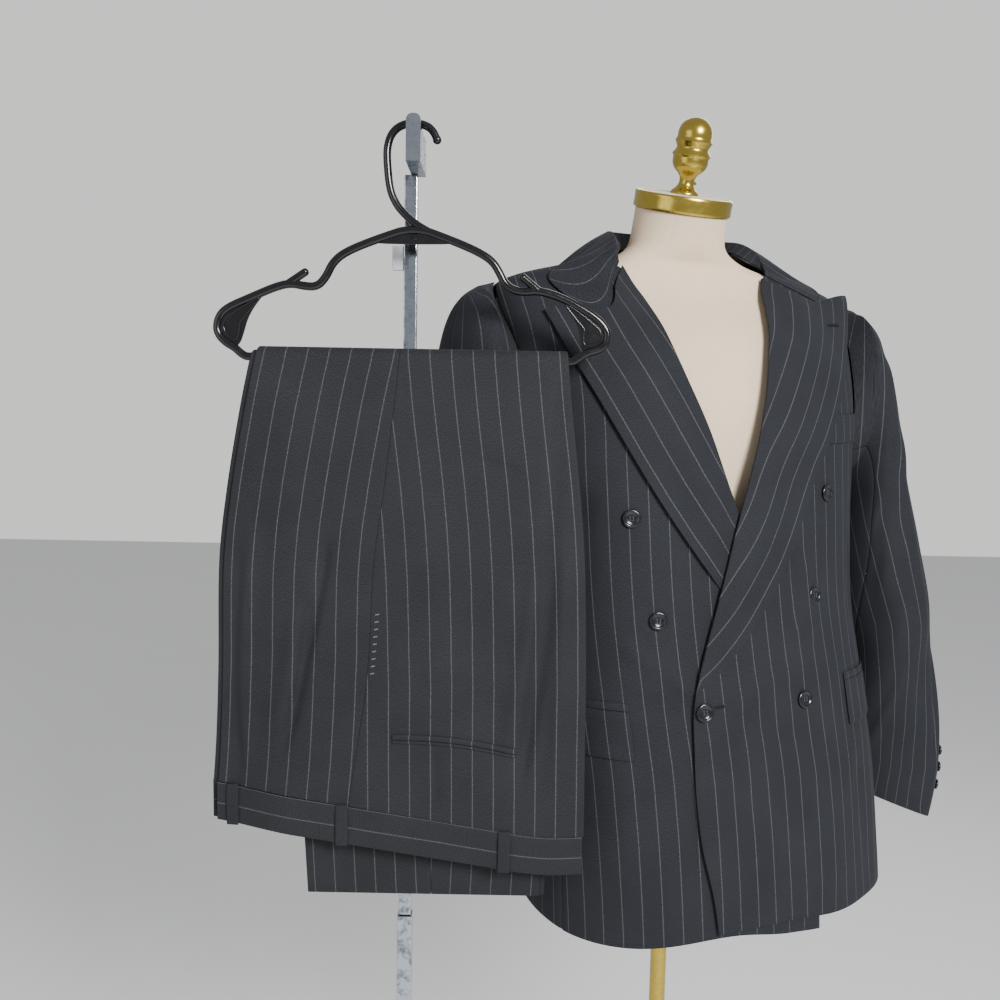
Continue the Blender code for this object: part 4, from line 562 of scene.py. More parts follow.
def front_surface(side, a, b, out):
    height = row_height(side * (12 + 58 * a), b, NECK_TOP)
    free, seam = front_free_angle(side, height), side * front_seam_angle(height)
    start = JACKET.arc(free, height)
    end = JACKET.arc(seam, height) - side * SEAM / 2
    arc = start + (end - start) * a
    angle = JACKET.angle_at_arc(arc, height)
    x = JACKET.face(angle, height)[..., 0]
    lift = front_lift(side, x, height) + drape(arc, height)
    lift += np.where(a > 0.5, seam_dip(a, np.abs(end - start)), 0)
    return JACKET.point(angle, height, lift + out), arc, height


def side_surface(side, a, b, out):
    angle = FRONT_SEAM_ANGLE + (BACK_SEAM_ANGLE - FRONT_SEAM_ANGLE) * a
    top = armhole_under(angle) - SEAM / 2
    bottom = hem_height(side * angle)
    height = bottom + (top - bottom) * b
    start = JACKET.arc(side * FRONT_SEAM_ANGLE, height) + side * SEAM / 2
    end = JACKET.arc(side * BACK_SEAM_ANGLE, height) - side * SEAM / 2
    arc = start + (end - start) * a
    lift = drape(arc, height) + seam_dip(a, np.abs(end - start))
    return JACKET.point(JACKET.angle_at_arc(arc, height), height, lift + out), arc, height


def back_surface(side, a, b, out):
    height = row_height(side * (BACK_SEAM_ANGLE + (180 - BACK_SEAM_ANGLE) * a), b,
                        NECK_TOP - 0.004 * a)
    start = JACKET.arc(side * back_seam_angle(height), height) + side * SEAM / 2
    end = JACKET.arc(side * 179.99, height) - side * SEAM / 2
    arc = start + (end - start) * a
    lift = drape(arc, height) + seam_dip(a, np.abs(end - start))
    return JACKET.point(JACKET.angle_at_arc(arc, height), height, lift + out), arc - end, height


def along(rows, t):
    """Point at fraction t of the length of a frontal line."""
    line = sampled(rows, 8)
    run = np.concatenate([[0], np.cumsum(np.hypot(*np.diff(line, axis=0).T))])
    return np.stack([np.interp(t * run[-1], run, line[:, 0]),
                     np.interp(t * run[-1], run, line[:, 1])], -1)


LAPEL_ROLL = 0.0060
LAPEL_REST = {1: 0.0045, -1: 0.0034}
PEAK_RISE = (0.002, -0.006, 0.011)       # how the left lapel's peak stands off the shoulder
LAPEL_LAY = 0.0008
COVER_EASE = 0.030
ROLL_SHARE = 0.05              # share of a lapel's columns that turn round the front's edge
LapelCut = namedtuple("LapelCut", "roll edge gorge")
LAPELS = {1: LapelCut(LEFT_ROLL, LEFT_LAPEL, LEFT_GORGE), -1: LapelCut(RIGHT_ROLL, RIGHT_LAPEL,
                                                                       RIGHT_GORGE)}


def lapel_surface(side, a, b, out):
    """Lapel laid back on the front, with a soft roll round the front's edge at its inner side."""
    cut = LAPELS[side]
    share = np.clip((a - ROLL_SHARE) / (1 - ROLL_SHARE), 0, 1)
    wrap = np.clip(1 - a / ROLL_SHARE, 0, 1) * math.pi
    inner, outer = along(cut.roll, b), along(cut.edge, b)
    flat = inner + (outer - inner) * share[..., None]
    straight = along(cut.roll, np.ones_like(b)) * (1 - share[..., None]) + along(cut.edge,
                                                                                 np.ones_like(b)) * share[..., None]
    flat = flat + (along(cut.gorge, share) - straight) * (b ** 6)[..., None]
    free = ease((front_boundary(1, flat[..., 1]) - flat[..., 0]) / COVER_EASE) if side < 0 else 1.0
    swell = LAPEL_ROLL * ease(b * 3) * np.sin(np.pi * np.minimum(1, (1 - share) ** 1.5)) ** 2
    swell += LAPEL_REST[side] * share ** 2 * ease(b * 4) + relief(LAPEL_FOLDS[side], flat[..., 0],
                                                                  flat[..., 1])
    top = SUIT_WALL + LAPEL_LAY + swell * free
    radius = SUIT_WALL / 2 + LAPEL_LAY
    rise = top - radius * (1 - np.cos(wrap))
    width = np.linalg.norm(outer - inner, axis=-1)
    x = flat[..., 0] - side * radius * 0.9 * np.sin(wrap) * ease(b * 12)
    spot = JACKET.point(JACKET.angle_at_x(x, flat[..., 1]), flat[..., 1],
                        rise + front_lift(side, flat[..., 0], flat[..., 1]) + out * np.cos(wrap))
    if side > 0:
        peak = ease((b - 0.86) / 0.14) * ease((share - 0.45) / 0.5)
        spot = spot + peak[..., None] * np.array(PEAK_RISE)
    return spot, (1 - a) * np.maximum(width, 0.012) * 1.02, b * 0.55


def top_height(x, y):
    """Height of the jacket's shoulders over a point, found between the chest and the neck edge."""
    low, high = np.full_like(x, 1.42), np.full_like(x, NECK_TOP)
    for _ in range(14):
        middle = (low + high) / 2
        inside = JACKET.covers(x, y, middle)
        low, high = np.where(inside, middle, low), np.where(inside, high, middle)
    return low


COLLAR_STAND = 0.36
RIGHT_COLLAR = COLLAR[:3] + [
    CollarRow(88, 1.5865, 0.093, -0.003, 1.600, 86, 1.5640, -0.003),
    CollarRow(63, 1.5725, 0.101, -0.027, 1.584, 60, 1.5440, 0.010),
    CollarRow(42, 1.5580, 0.104, -0.040, 1.561, 46.5, 1.5120, 0.042),
]


def collar_surface(a, b, out):
    """Collar folded round the neck: a from the right gorge over the back to the left, b from seam to edge."""
    reach = np.abs(a * 2 - 1) * (len(COLLAR) - 1)
    side = np.where(a > 0.5, 1.0, -1.0)
    row = CollarRow(*np.moveaxis(np.where((side > 0)[..., None], spline(COLLAR, reach),
                                          spline(RIGHT_COLLAR, reach)), -1, 0))
    fold = np.stack([side * row.fold_x + COLLAR_MIDDLE, row.fold_y, row.fold_z], -1)
    seam = JACKET.point(side * row.seam_angle, np.minimum(row.seam_z, NECK_TOP), 0.0)
    seam[..., 2] = row.seam_z + 0.0008
    raised = np.where(side > 0, LEFT_NOTCH_RAISE * ease(reach - (len(COLLAR) - 2)), 0)
    edge = JACKET.point(side * row.edge_angle, row.edge_z + raised, COLLAR_CLEARANCE)
    stand = np.clip(b / COLLAR_STAND, 0, 1)[..., None]
    t = np.clip((b - COLLAR_STAND) / (1 - COLLAR_STAND), 0, 1)
    spot = np.where(stand < 1, seam + (fold - seam) * stand, fold + (edge - fold) * t[..., None])
    spot[..., 2] -= row.dip * np.sin(np.pi * t) * (t > 0)
    floor = top_height(spot[..., 0], spot[..., 1]) + COLLAR_CLEARANCE
    front = ease((reach - 3.6) / 1.2) * (side < 0)
    spot[..., 2] = np.where((t > 0) & (spot[..., 2] < NECK_TOP),
                            np.maximum(spot[..., 2], floor * (1 - front)), spot[..., 2])
    chest = JACKET.point(JACKET.angle_at_x(spot[..., 0], spot[..., 2]), spot[..., 2],
                         COLLAR_CLEARANCE + 0.0006)
    laid = (front * ease(t / 0.30))[..., None]
    spot = spot * (1 - laid) + chest * laid
    return spot, (a - 0.5) * 0.62, b * 0.075


def offset_surface(surface):
    """Give a bare surface a way out: along its own normal."""
    def walled(a, b, out):
        spot, u, v = surface(a, b, 0)
        if np.all(np.asarray(out) == 0):
            return spot, u, v
        across = surface(np.minimum(a + 0.004, 1), b, 0)[0] - surface(np.maximum(a - 0.004, 0), b,
                                                                      0)[0]
        up = surface(a, np.minimum(b + 0.016, 1), 0)[0] - surface(a, np.maximum(b - 0.016, 0), 0)[0]
        return spot + unit(np.cross(across, up)) * out, u, v
    return walled


def sleeve_ring(side, rows, at, turn, out):
    """Points on a sleeve's sections; turn 0 is the outside of the sleeve and a quarter is its front."""
    row = SleeveRow(*np.moveaxis(spline(rows, at), -1, 0))
    outer = np.stack([row.outer_x, row.mid_y, row.outer_z], -1)
    inner = np.stack([row.inner_x, row.mid_y, row.inner_z], -1)
    across = (outer - inner) / 2
    reach = np.linalg.norm(across, axis=-1)
    swing = np.cos(2 * math.pi * turn) * (reach + out)
    lean = np.sin(2 * math.pi * turn)
    lean = lean * (np.where(lean > 0, row.fore, row.aft) + out)
    twist = np.radians(row.twist)
    along_out = swing * np.cos(twist) - lean * np.sin(twist)
    ahead = swing * np.sin(twist) + lean * np.cos(twist)
    spot = (outer + inner) / 2 + across / reach[..., None] * along_out[..., None]
    spot = spot + np.array([0.0, -1.0, 0.0]) * ahead[..., None]
    spot[..., 0] *= side
    return spot


def sleeve_start(side, turn, out):
    """The sleeve's first section lies just outside the armhole seam."""
    angle, height = np.moveaxis(armhole_loop(turn), -1, 0)
    raised = JACKET.point(side * angle, height, SUIT_WALL + ARMHOLE_LAY - 0.0006)
    centre = np.stack([raised[..., 0] + side * 0.012, np.full_like(angle, 0.004),
                       np.full_like(angle, 1.414)], -1)
    return raised - unit(centre - raised) * np.asarray(out)[..., None]


SLEEVE_GIRTH = 0.40
SLEEVE_LENGTH = 0.66


def sleeve_bearing(side, rows, spot, guess):
    """Turn of a point about the line that the sleeve hangs along, on which its stripes run straight down."""
    hang = rows[:3:-1]
    level = [(row.outer_z + row.inner_z) / 2 for row in hang]
    across = side * spot[..., 0] - np.interp(spot[..., 2], level,
                                             [(row.outer_x + row.inner_x) / 2 for row in hang])
    ahead = np.interp(spot[..., 2], level, [row.mid_y for row in hang]) - spot[..., 1]
    bearing = np.arctan2(ahead, across) / math.tau
    return bearing + np.round(guess - bearing)


def sleeve_surface(side, first, last, a, b, out):
    """Part of a sleeve between two seams: a round it, b from the armhole to the cuff."""
    rows = LEFT_SLEEVE if side > 0 else RIGHT_SLEEVE
    gap = math.degrees(SEAM * 0.8 / SLEEVE_RADIUS)
    turn = (first + gap + (last - first - 2 * gap) * a) / 360.0
    at = b * len(rows) - 1
    u, v = turn * SLEEVE_GIRTH, b * SLEEVE_LENGTH
    dip = seam_dip(a, SLEEVE_GIRTH * (last - first) / 360.0)
    rough = (relief(SLEEVE_FOLDS[side], (turn + 0.5) % 1.0 - 0.5, v) + dip
             + undulation(u, v, 0.0005, 2 + side)) * ease(b * 9)
    ring = sleeve_ring(side, rows, np.maximum(at, 0), turn, rough + out)
    start = sleeve_start(side, turn, out)
    first_ring = sleeve_ring(side, rows, np.zeros_like(at), turn, rough + out)
    head = start + (first_ring - start) * np.clip(at + 1, 0, 1)[..., None]
    spot = np.where((at < 0)[..., None], head, ring)
    twist = np.interp(np.maximum(at, 0), np.arange(len(rows)), [row.twist for row in rows])
    return spot, sleeve_bearing(side, rows, spot, turn + twist / 360.0) * SLEEVE_GIRTH, v


def patch_surface(side, start, width, top, bottom, slant, lift, puff, a, b, out):
    """A flap, jet or welt: a patch on the front that starts at an arc length and runs towards the side."""
    height = bottom + (top - bottom) * b + slant * a
    arc = start + width * a
    angle = JACKET.angle_at_arc(arc, height)
    x = JACKET.face(angle, height)[..., 0]
    rim = np.minimum(np.minimum(a, 1 - a) * abs(width), np.minimum(b, 1 - b) * abs(top - bottom))
    raise_ = front_lift(side, x, height) + drape(arc, height) + lift + puff * ease(rim / 0.004)
    return JACKET.point(angle, height, raise_ + out), arc, height


# ---------------------------------------------------------------- trouser surfaces
front_drop = {c: lookup(sampled(FRONT_DROP), 0, i) for i, c in enumerate(LegRow._fields) if i}
back_drop = {c: lookup(sampled(BACK_DROP), 0, i) for i, c in enumerate(LegRow._fields) if i}
waist_seam = lookup(sampled(WAIST_SEAM), 0, 1)


def leg_edges(leg, run):
    """Left edge, side seam, right edge, base layer and swell of a leg at a run along its length."""
    inner = LEG_LAY + WIRE_RADIUS
    base = inner if leg == "left" else inner + LEG_DEPTH + LEG_LAY
    height = BAR_HEIGHT + BAR_RISE - np.abs(run)
    shift = LEFT_LEG_SHIFT if leg == "left" else 0.0
    left, seam, right, swell = [np.where(run > 0, front_drop[c](height), back_drop[c](height))
                                for c in ("left", "seam", "right", "swell")]
    return left + shift, seam + shift, right + shift, base, swell


def over_bar(x, run, reach):
    """World point of a layer `reach` metres from the bar's middle; run is the length from the bar's top."""
    way = np.where(run > 0, -1.0, 1.0)
    turn = np.minimum(np.abs(run) / BAR_RISE, 1.0) * math.pi / 2
    z = np.where(np.abs(run) < BAR_RISE, BAR_HEIGHT + reach * np.cos(turn),
                 BAR_HEIGHT + BAR_RISE - np.abs(run))
    return np.stack([x, HANGER_Y + way * reach * np.sin(turn), z], -1)


def leg_run(leg, way, a, b):
    """Length coordinate of a trouser panel: from the hem (b = 0) over the bar to the waist seam (b = 1)."""
    shift = LEFT_LEG_SHIFT if leg == "left" else 0.0
    seam, crease = front_drop["seam"](0.95), front_drop["left" if way < 0 else "right"](0.95)
    x = seam + (crease - seam) * np.minimum(a / OUTER_SHARE, 1.0) + shift
    waist = BAR_HEIGHT + BAR_RISE - waist_seam(x) - SEAM
    back = HEM_RUN + (-BAR_RISE - HEM_RUN) * b / BACK_SHARE
    bar = BAR_RISE * (2 * (b - BACK_SHARE) / (BAR_SHARE - BACK_SHARE) - 1)
    front = BAR_RISE + (waist - BAR_RISE) * (b - BAR_SHARE) / (1 - BAR_SHARE)
    return np.where(b < BACK_SHARE, back, np.where(b < BAR_SHARE, bar, front))


def clear_of_lining(grown):
    """Level a trough out softly before it meets the inner layer of the folded leg."""
    return np.logaddexp(grown / 0.0007, -0.0009 / 0.0007) * 0.0007


def leg_surface(leg, part, a, b, out):
    """A trouser panel: a from the outseam round the crease to the inseam, b from the hem to the waist."""
    face = 1 if leg == "right" else -1
    way = -1 if part == "front" else 1
    run = leg_run(leg, way, a, b)
    left, seam, right, base, swell = leg_edges(leg, run)
    half = LEG_DEPTH / 2
    crease = left if way < 0 else right
    fork = ease((WAIST_RUN - CROTCH_DROP - run) / 0.10)
    inner_reach = 0.004 + (np.abs(crease - seam) - half - 0.006) * fork
    flat = np.abs(crease - seam) - half - SEAM / 2
    radius = half + out
    middle = crease - way * half
    turn = math.pi * np.clip((a - OUTER_SHARE) / BEND_SHARE, 0, 1)
    t = np.clip((a - OUTER_SHARE - BEND_SHARE) / (1 - OUTER_SHARE - BEND_SHARE), 0, 1)
    x = np.where(a <= OUTER_SHARE, seam + way * (SEAM / 2 + flat * a / OUTER_SHARE),
                 middle + way * radius * np.sin(turn) - way * inner_reach * t)
    level = half + face * radius * np.cos(turn)
    reach = base + level
    if leg == "right":
        near_edge = np.minimum(np.abs(x - left), np.abs(right - x))
        grown = clear_of_lining(swell * ease(near_edge / SWELL_EASE) + trouser_drape(x, run))
        reach = reach + np.where(a < OUTER_SHARE, grown, grown * ease(1 - (a - OUTER_SHARE) / 0.12))
    u = np.where(a <= OUTER_SHARE, flat * (1 - a / OUTER_SHARE),
                 -0.005 * turn / math.pi - inner_reach * t)
    return over_bar(x, run, reach), u + 0.004, run


def band_surface(leg, a, b, out):
    """Half of the waistband, from the front opening to the seat seam, below the waist seam."""
    face = 1 if leg == "right" else -1
    level = float(waist_seam((front_drop["left"](0.95) + front_drop["right"](0.95)) / 2))
    left, seam, right, base, swell = leg_edges(leg, np.array(BAR_HEIGHT + BAR_RISE - level))
    half = LEG_DEPTH / 2
    x = np.where(a < 0.5, left + half + (seam - left - half) * a * 2, seam + (right - half - seam)
                 * (a * 2 - 1))
    height = waist_seam(x) - SEAM / 2 - WAISTBAND * (1 - b)
    reach = base + half + face * (half + out) + 0 * x
    if leg == "right":
        run = BAR_HEIGHT + BAR_RISE - height
        edge = np.minimum(b, 1 - b) * WAISTBAND
        swelling = swell * ease(np.minimum(np.abs(x - left), np.abs(right - x)) / SWELL_EASE)
        reach = reach + clear_of_lining(swelling + trouser_drape(x, run) * 0.7) + 0.0008 * ease(edge
                                                                                                / 0.004)
    return np.stack([x, HANGER_Y - reach, height], -1), (b - 0.46) * WAISTBAND, x


def trouser_face(x, height):
    """World y of the right leg's outer face on the front drop."""
    run = BAR_HEIGHT + BAR_RISE - height
    left, seam, right, base, swell = leg_edges("right", run)
    swelling = swell * ease(np.minimum(np.abs(x - left), np.abs(right - x)) / SWELL_EASE)
    return HANGER_Y - base - LEG_DEPTH - clear_of_lining(swelling + trouser_drape(x, run))


# ---------------------------------------------------------------- materials
def new_group(name, inputs, outputs):
    group = bpy.data.node_groups.new(name, "ShaderNodeTree")
    for label, kind, value in inputs:
        socket = group.interface.new_socket(name=label, in_out="INPUT", socket_type=kind)
        if value is not None:
            socket.default_value = value
    for label, kind in outputs:
        group.interface.new_socket(name=label, in_out="OUTPUT", socket_type=kind)
    return group, group.nodes.new("NodeGroupInput"), group.nodes.new("NodeGroupOutput")


def wire(tree, source, target):
    tree.links.new(source, target)


def math_node(tree, operation, first, second=None, third=None, clamp=False):
    node = tree.nodes.new("ShaderNodeMath")
    node.operation = operation
    node.use_clamp = clamp
    for index, value in enumerate((first, second, third)):
        if value is None:
            continue
        if isinstance(value, (int, float)):
            node.inputs[index].default_value = value
        else:
            wire(tree, value, node.inputs[index])
    return node.outputs[0]


def mix_colours(tree, amount, first, second, blend="MIX"):
    node = tree.nodes.new("ShaderNodeMix")
    node.data_type = "RGBA"
    node.blend_type = blend
    for socket, value in ((node.inputs[0], amount), (node.inputs[6], first),
                          (node.inputs[7], second)):
        if isinstance(value, (int, float)):
            socket.default_value = value
        elif isinstance(value, tuple):
            socket.default_value = (*value, 1.0)
        else:
            wire(tree, value, socket)
    return node.outputs[2]


def noise(tree, vector, scale, detail=2.0, rough=0.5):
    node = tree.nodes.new("ShaderNodeTexNoise")
    node.inputs["Scale"].default_value = scale
    node.inputs["Detail"].default_value = detail
    node.inputs["Roughness"].default_value = rough
    wire(tree, vector, node.inputs["Vector"])
    return node.outputs["Fac"]


def stretched(tree, vector, scale):
    node = tree.nodes.new("ShaderNodeMapping")
    node.inputs["Scale"].default_value = scale
    wire(tree, vector, node.inputs["Vector"])
    return node.outputs["Vector"]


def make_stripe_group():
    """Chalky pin stripes that run along v, one every pitch metres of u."""
    group, given, result = new_group(
        "pin_stripes",
        [("Vector", "NodeSocketVector", None), ("Pitch", "NodeSocketFloat", STRIPE_PITCH),
         ("Shift", "NodeSocketFloat", 0.0), ("Half Width", "NodeSocketFloat", 0.0007)],
        [("Stripe", "NodeSocketFloat")])
    split = group.nodes.new("ShaderNodeSeparateXYZ")
    wire(group, given.outputs["Vector"], split.inputs[0])
    wobble = noise(group, stretched(group, given.outputs["Vector"], (0.0, 26.0, 0.0)), 1.0, 1.0)
    shifted = math_node(group, "ADD", split.outputs[0], math_node(group, "MULTIPLY", math_node(
        group, "SUBTRACT", wobble, 0.5), 0.0008))
    turns = math_node(group, "ADD", math_node(group, "DIVIDE", shifted, given.outputs["Pitch"]),
                      given.outputs["Shift"])
    middle = math_node(group, "ABSOLUTE",
                       math_node(group, "SUBTRACT", math_node(group, "FRACT", turns), 0.5))
    distance = math_node(group, "MULTIPLY", middle, given.outputs["Pitch"])
    core = math_node(group, "SUBTRACT", 1.35, math_node(group, "DIVIDE", distance,
                                                        given.outputs["Half Width"]), clamp=True)
    broken = noise(group, stretched(group, given.outputs["Vector"], (900.0, 420.0, 1.0)), 1.0, 2.0)
    dots = math_node(group, "MULTIPLY", math_node(group, "ADD", broken, -0.18), 2.0, clamp=True)
    wire(group, math_node(group, "MULTIPLY", core, dots), result.inputs["Stripe"])
    return group


def make_worsted_group():
    """Fine worsted: melange of two yarns, a steep twill and soft wear of the nap."""
    group, given, result = new_group(
        "worsted_weave",
        [("Vector", "NodeSocketVector", None), ("Place", "NodeSocketVector", None),
         ("Dark", "NodeSocketColor", (0.04, 0.045, 0.055, 1)),
         ("Light", "NodeSocketColor", (0.07, 0.075, 0.09, 1)),
         ("Stripe Colour", "NodeSocketColor", (0.3, 0.3, 0.3, 1)),
         ("Stripe", "NodeSocketFloat", 0.0)],
        [("Colour", "NodeSocketColor"), ("Roughness", "NodeSocketFloat"),
         ("Height", "NodeSocketFloat")])
    flecks = noise(group, stretched(group, given.outputs["Vector"], (1500.0, 700.0, 1.0)), 1.0, 3.0,
                   0.65)
    cloudy = noise(group, given.outputs["Place"], 16.0, 3.0, 0.55)
    yarn = math_node(group, "MULTIPLY", math_node(group, "SUBTRACT", flecks, 0.34), 2.4, clamp=True)
    cloth = mix_colours(group, yarn, given.outputs["Dark"], given.outputs["Light"])
    nap = math_node(group, "MULTIPLY_ADD", math_node(group, "SUBTRACT", cloudy, 0.5), 0.55, 1.0)
    tone = group.nodes.new("ShaderNodeVectorMath")
    tone.operation = "SCALE"
    wire(group, cloth, tone.inputs[0])
    wire(group, nap, tone.inputs["Scale"])
    striped = mix_colours(group, given.outputs["Stripe"], tone.outputs[0],
                          given.outputs["Stripe Colour"])
    wire(group, striped, result.inputs["Colour"])
    wire(group, math_node(group, "MULTIPLY_ADD", cloudy, 0.12, 0.70), result.inputs["Roughness"])
    twill = group.nodes.new("ShaderNodeTexWave")
    twill.wave_type = "BANDS"
    twill.bands_direction = "DIAGONAL"
    twill.inputs["Scale"].default_value = 520.0
    twill.inputs["Distortion"].default_value = 1.2
    twill.inputs["Detail"].default_value = 1.0
    wire(group, given.outputs["Vector"], twill.inputs["Vector"])
    rib = math_node(group, "MULTIPLY", twill.outputs["Fac"], 0.5)
    height = math_node(group, "ADD", math_node(group, "MULTIPLY_ADD", flecks, 0.5, rib),
                       math_node(group, "MULTIPLY", given.outputs["Stripe"], 0.4))
    wire(group, height, result.inputs["Height"])
    return group


def make_speckle_group():
    """Small uneven marks, as dust, wear and casting leave on hard surfaces; on the chrome they are also painted dark
    reflections.
    """
    group, given, result = new_group(
        "fine_wear",
        [("Vector", "NodeSocketVector", None), ("Scale", "NodeSocketFloat", 200.0),
         ("Amount", "NodeSocketFloat", 0.5)],
        [("Mask", "NodeSocketFloat"), ("Height", "NodeSocketFloat")])
    node = group.nodes.new("ShaderNodeTexNoise")
    node.inputs["Detail"].default_value = 4.0
    node.inputs["Roughness"].default_value = 0.6
    wire(group, given.outputs["Vector"], node.inputs["Vector"])
    wire(group, given.outputs["Scale"], node.inputs["Scale"])
    spots = math_node(group, "MULTIPLY", math_node(group, "SUBTRACT", node.outputs["Fac"], 0.45),
                      4.0, clamp=True)
    wire(group, math_node(group, "MULTIPLY", spots, given.outputs["Amount"]), result.inputs["Mask"])
    wire(group, node.outputs["Fac"], result.inputs["Height"])
    return group


STRIPES = make_stripe_group()
WORSTED = make_worsted_group()
WEAR_AND_PAINTED_REFLECTION = make_speckle_group()


def start_material(name, metallic=0.0, specular=0.5):
    material = bpy.data.materials.new(name)
    material.use_nodes = True
    tree = material.node_tree
    shader = tree.nodes["Principled BSDF"]
    shader.inputs["Metallic"].default_value = metallic
    shader.inputs["Specular IOR Level"].default_value = specular
    return material, tree, shader


def placed_group(tree, group, links=(), **values):
    node = tree.nodes.new("ShaderNodeGroup")
    node.node_tree = group
    for label, source in links:
        wire(tree, source, node.inputs[label])
    for label, value in values.items():
        node.inputs[label.replace("_", " ")].default_value = value
    return node


def add_bump(tree, shader, height, distance, strength):
    bump = tree.nodes.new("ShaderNodeBump")
    bump.inputs["Distance"].default_value = distance
    bump.inputs["Strength"].default_value = strength
    wire(tree, height, bump.inputs["Height"])
    wire(tree, bump.outputs["Normal"], shader.inputs["Normal"])


def suit_cloth(name, dark, light, stripe_colour, shift=0.0, pitch=STRIPE_PITCH, half_width=0.0006,
               striped=True):
    material, tree, shader = start_material(name, specular=0.12)
    cloth = tree.nodes.new("ShaderNodeUVMap")
    cloth.uv_map = "cloth"
    place = tree.nodes.new("ShaderNodeTexCoord")
    weave = placed_group(tree, WORSTED, [("Vector", cloth.outputs["UV"]),
                                         ("Place", place.outputs["Object"])],
                         Dark=(*dark, 1), Light=(*light, 1), Stripe_Colour=(*stripe_colour, 1))
    if striped:
        stripes = placed_group(tree, STRIPES, [("Vector", cloth.outputs["UV"])], Pitch=pitch,
                               Shift=shift,
                               Half_Width=half_width)
        wire(tree, stripes.outputs["Stripe"], weave.inputs["Stripe"])
    wire(tree, weave.outputs["Colour"], shader.inputs["Base Color"])
    wire(tree, weave.outputs["Roughness"], shader.inputs["Roughness"])
    shader.inputs["Sheen Weight"].default_value = 0.03
    shader.inputs["Sheen Roughness"].default_value = 0.45
    shader.inputs["Sheen Tint"].default_value = (0.75, 0.80, 0.90, 1)
    add_bump(tree, shader, weave.outputs["Height"], 0.00025, 0.5)
    return material


def wear_and_painted_reflection_finish(name, base, marked, rough, metallic, scale, amount, bump, specular=0.5):
    """A hard finish whose colour and gloss vary a little over its surface: wear marks, which on the chrome also stand
    for painted dark reflections.
    """
    material, tree, shader = start_material(name, metallic, specular)
    place = tree.nodes.new("ShaderNodeTexCoord")
    wear = placed_group(tree, WEAR_AND_PAINTED_REFLECTION, [("Vector", place.outputs["Object"])], Scale=scale,
                        Amount=amount)
    wire(tree, mix_colours(tree, wear.outputs["Mask"], base, marked), shader.inputs["Base Color"])
    wire(tree, math_node(tree, "MULTIPLY_ADD", wear.outputs["Mask"], 0.25, rough),
         shader.inputs["Roughness"])
    if bump:
        add_bump(tree, shader, wear.outputs["Height"], bump, 0.4)
    return material


def linen_cloth(name, base, marked):
    """Plain woven cover of the form: crossed threads, each a little uneven."""
    material, tree, shader = start_material(name, specular=0.2)
    place = tree.nodes.new("ShaderNodeTexCoord")
    warp = noise(tree, stretched(tree, place.outputs["Object"], (1900.0, 1900.0, 160.0)), 1.0, 2.0)
    weft = noise(tree, stretched(tree, place.outputs["Object"], (160.0, 160.0, 1900.0)), 1.0, 2.0)
    threads = math_node(tree, "MULTIPLY", math_node(tree, "ADD", warp, weft), 0.5)
    wear = placed_group(tree, WEAR_AND_PAINTED_REFLECTION, [("Vector", place.outputs["Object"])], Scale=24.0, Amount=0.35)
    tone = mix_colours(tree, threads, marked, base)
    wire(tree, mix_colours(tree, wear.outputs["Mask"], tone, marked), shader.inputs["Base Color"])
    shader.inputs["Roughness"].default_value = 0.85
    add_bump(tree, shader, threads, 0.0004, 0.6)
    return material


DARK_WOOL, LIGHT_WOOL = (0.006, 0.0068, 0.0090), (0.036, 0.038, 0.045)
DARK_TROUSER, LIGHT_TROUSER = (0.0075, 0.0080, 0.0098), (0.039, 0.040, 0.045)
CHALK = (0.088, 0.091, 0.096)
jacket_wool = suit_cloth("jacket_wool", DARK_WOOL, LIGHT_WOOL, CHALK)
sleeve_wool = suit_cloth("sleeve_wool", DARK_WOOL, LIGHT_WOOL, CHALK, shift=0.25)
lapel_wool = suit_cloth("lapel_wool", DARK_WOOL, LIGHT_WOOL, CHALK, shift=0.06)
collar_wool = suit_cloth("collar_wool", DARK_WOOL, LIGHT_WOOL, CHALK, shift=0.1, pitch=0.0215)
trouser_wool = suit_cloth("trouser_wool", DARK_TROUSER, LIGHT_TROUSER, CHALK)
band_wool = suit_cloth("band_wool", DARK_TROUSER, LIGHT_TROUSER, CHALK, shift=0.5)
plain_trouser_wool = suit_cloth("plain_trouser_wool", DARK_TROUSER, LIGHT_TROUSER, CHALK,
                                striped=False)
lining = wear_and_painted_reflection_finish("lining_satin", (0.010, 0.011, 0.014), (0.018, 0.019, 0.023), 0.42, 0.0, 90.0,
                     0.5, 0.0002, 0.3)
linen = linen_cloth("form_linen", (0.80, 0.66, 0.49), (0.66, 0.51, 0.36))
cap_linen = linen_cloth("cap_linen", (0.78, 0.74, 0.62), (0.66, 0.60, 0.48))
gold = wear_and_painted_reflection_finish("satin_gold", (0.50, 0.37, 0.07), (0.36, 0.26, 0.05), 0.22, 1.0, 160.0, 0.4, 0.0)
# Chrome: the dark marked colour, laid on in large patches, is painted dark reflection together with the chrome's
# wear.
chrome = wear_and_painted_reflection_finish("aged_chrome", (0.42, 0.46, 0.52), (0.10, 0.11, 0.13), 0.14, 1.0, 130.0, 0.9,
                     0.0002)
grey_paint = wear_and_painted_reflection_finish("grey_paint", (0.62, 0.64, 0.66), (0.50, 0.52, 0.54), 0.40, 0.0, 150.0,
                         0.5, 0.0)
black_plastic = wear_and_painted_reflection_finish("black_plastic", (0.004, 0.004, 0.005), (0.007, 0.007, 0.008), 0.15,
                            0.0, 120.0, 0.4, 0.0)
button_horn = wear_and_painted_reflection_finish("button_horn", (0.005, 0.006, 0.009), (0.012, 0.014, 0.022), 0.18, 0.0,
                          260.0, 0.5, 0.0)
dark_thread = wear_and_painted_reflection_finish("dark_thread", (0.003, 0.003, 0.004), (0.010, 0.010, 0.012), 0.70, 0.0,
                          2500.0, 0.8, 0.0, 0.2)
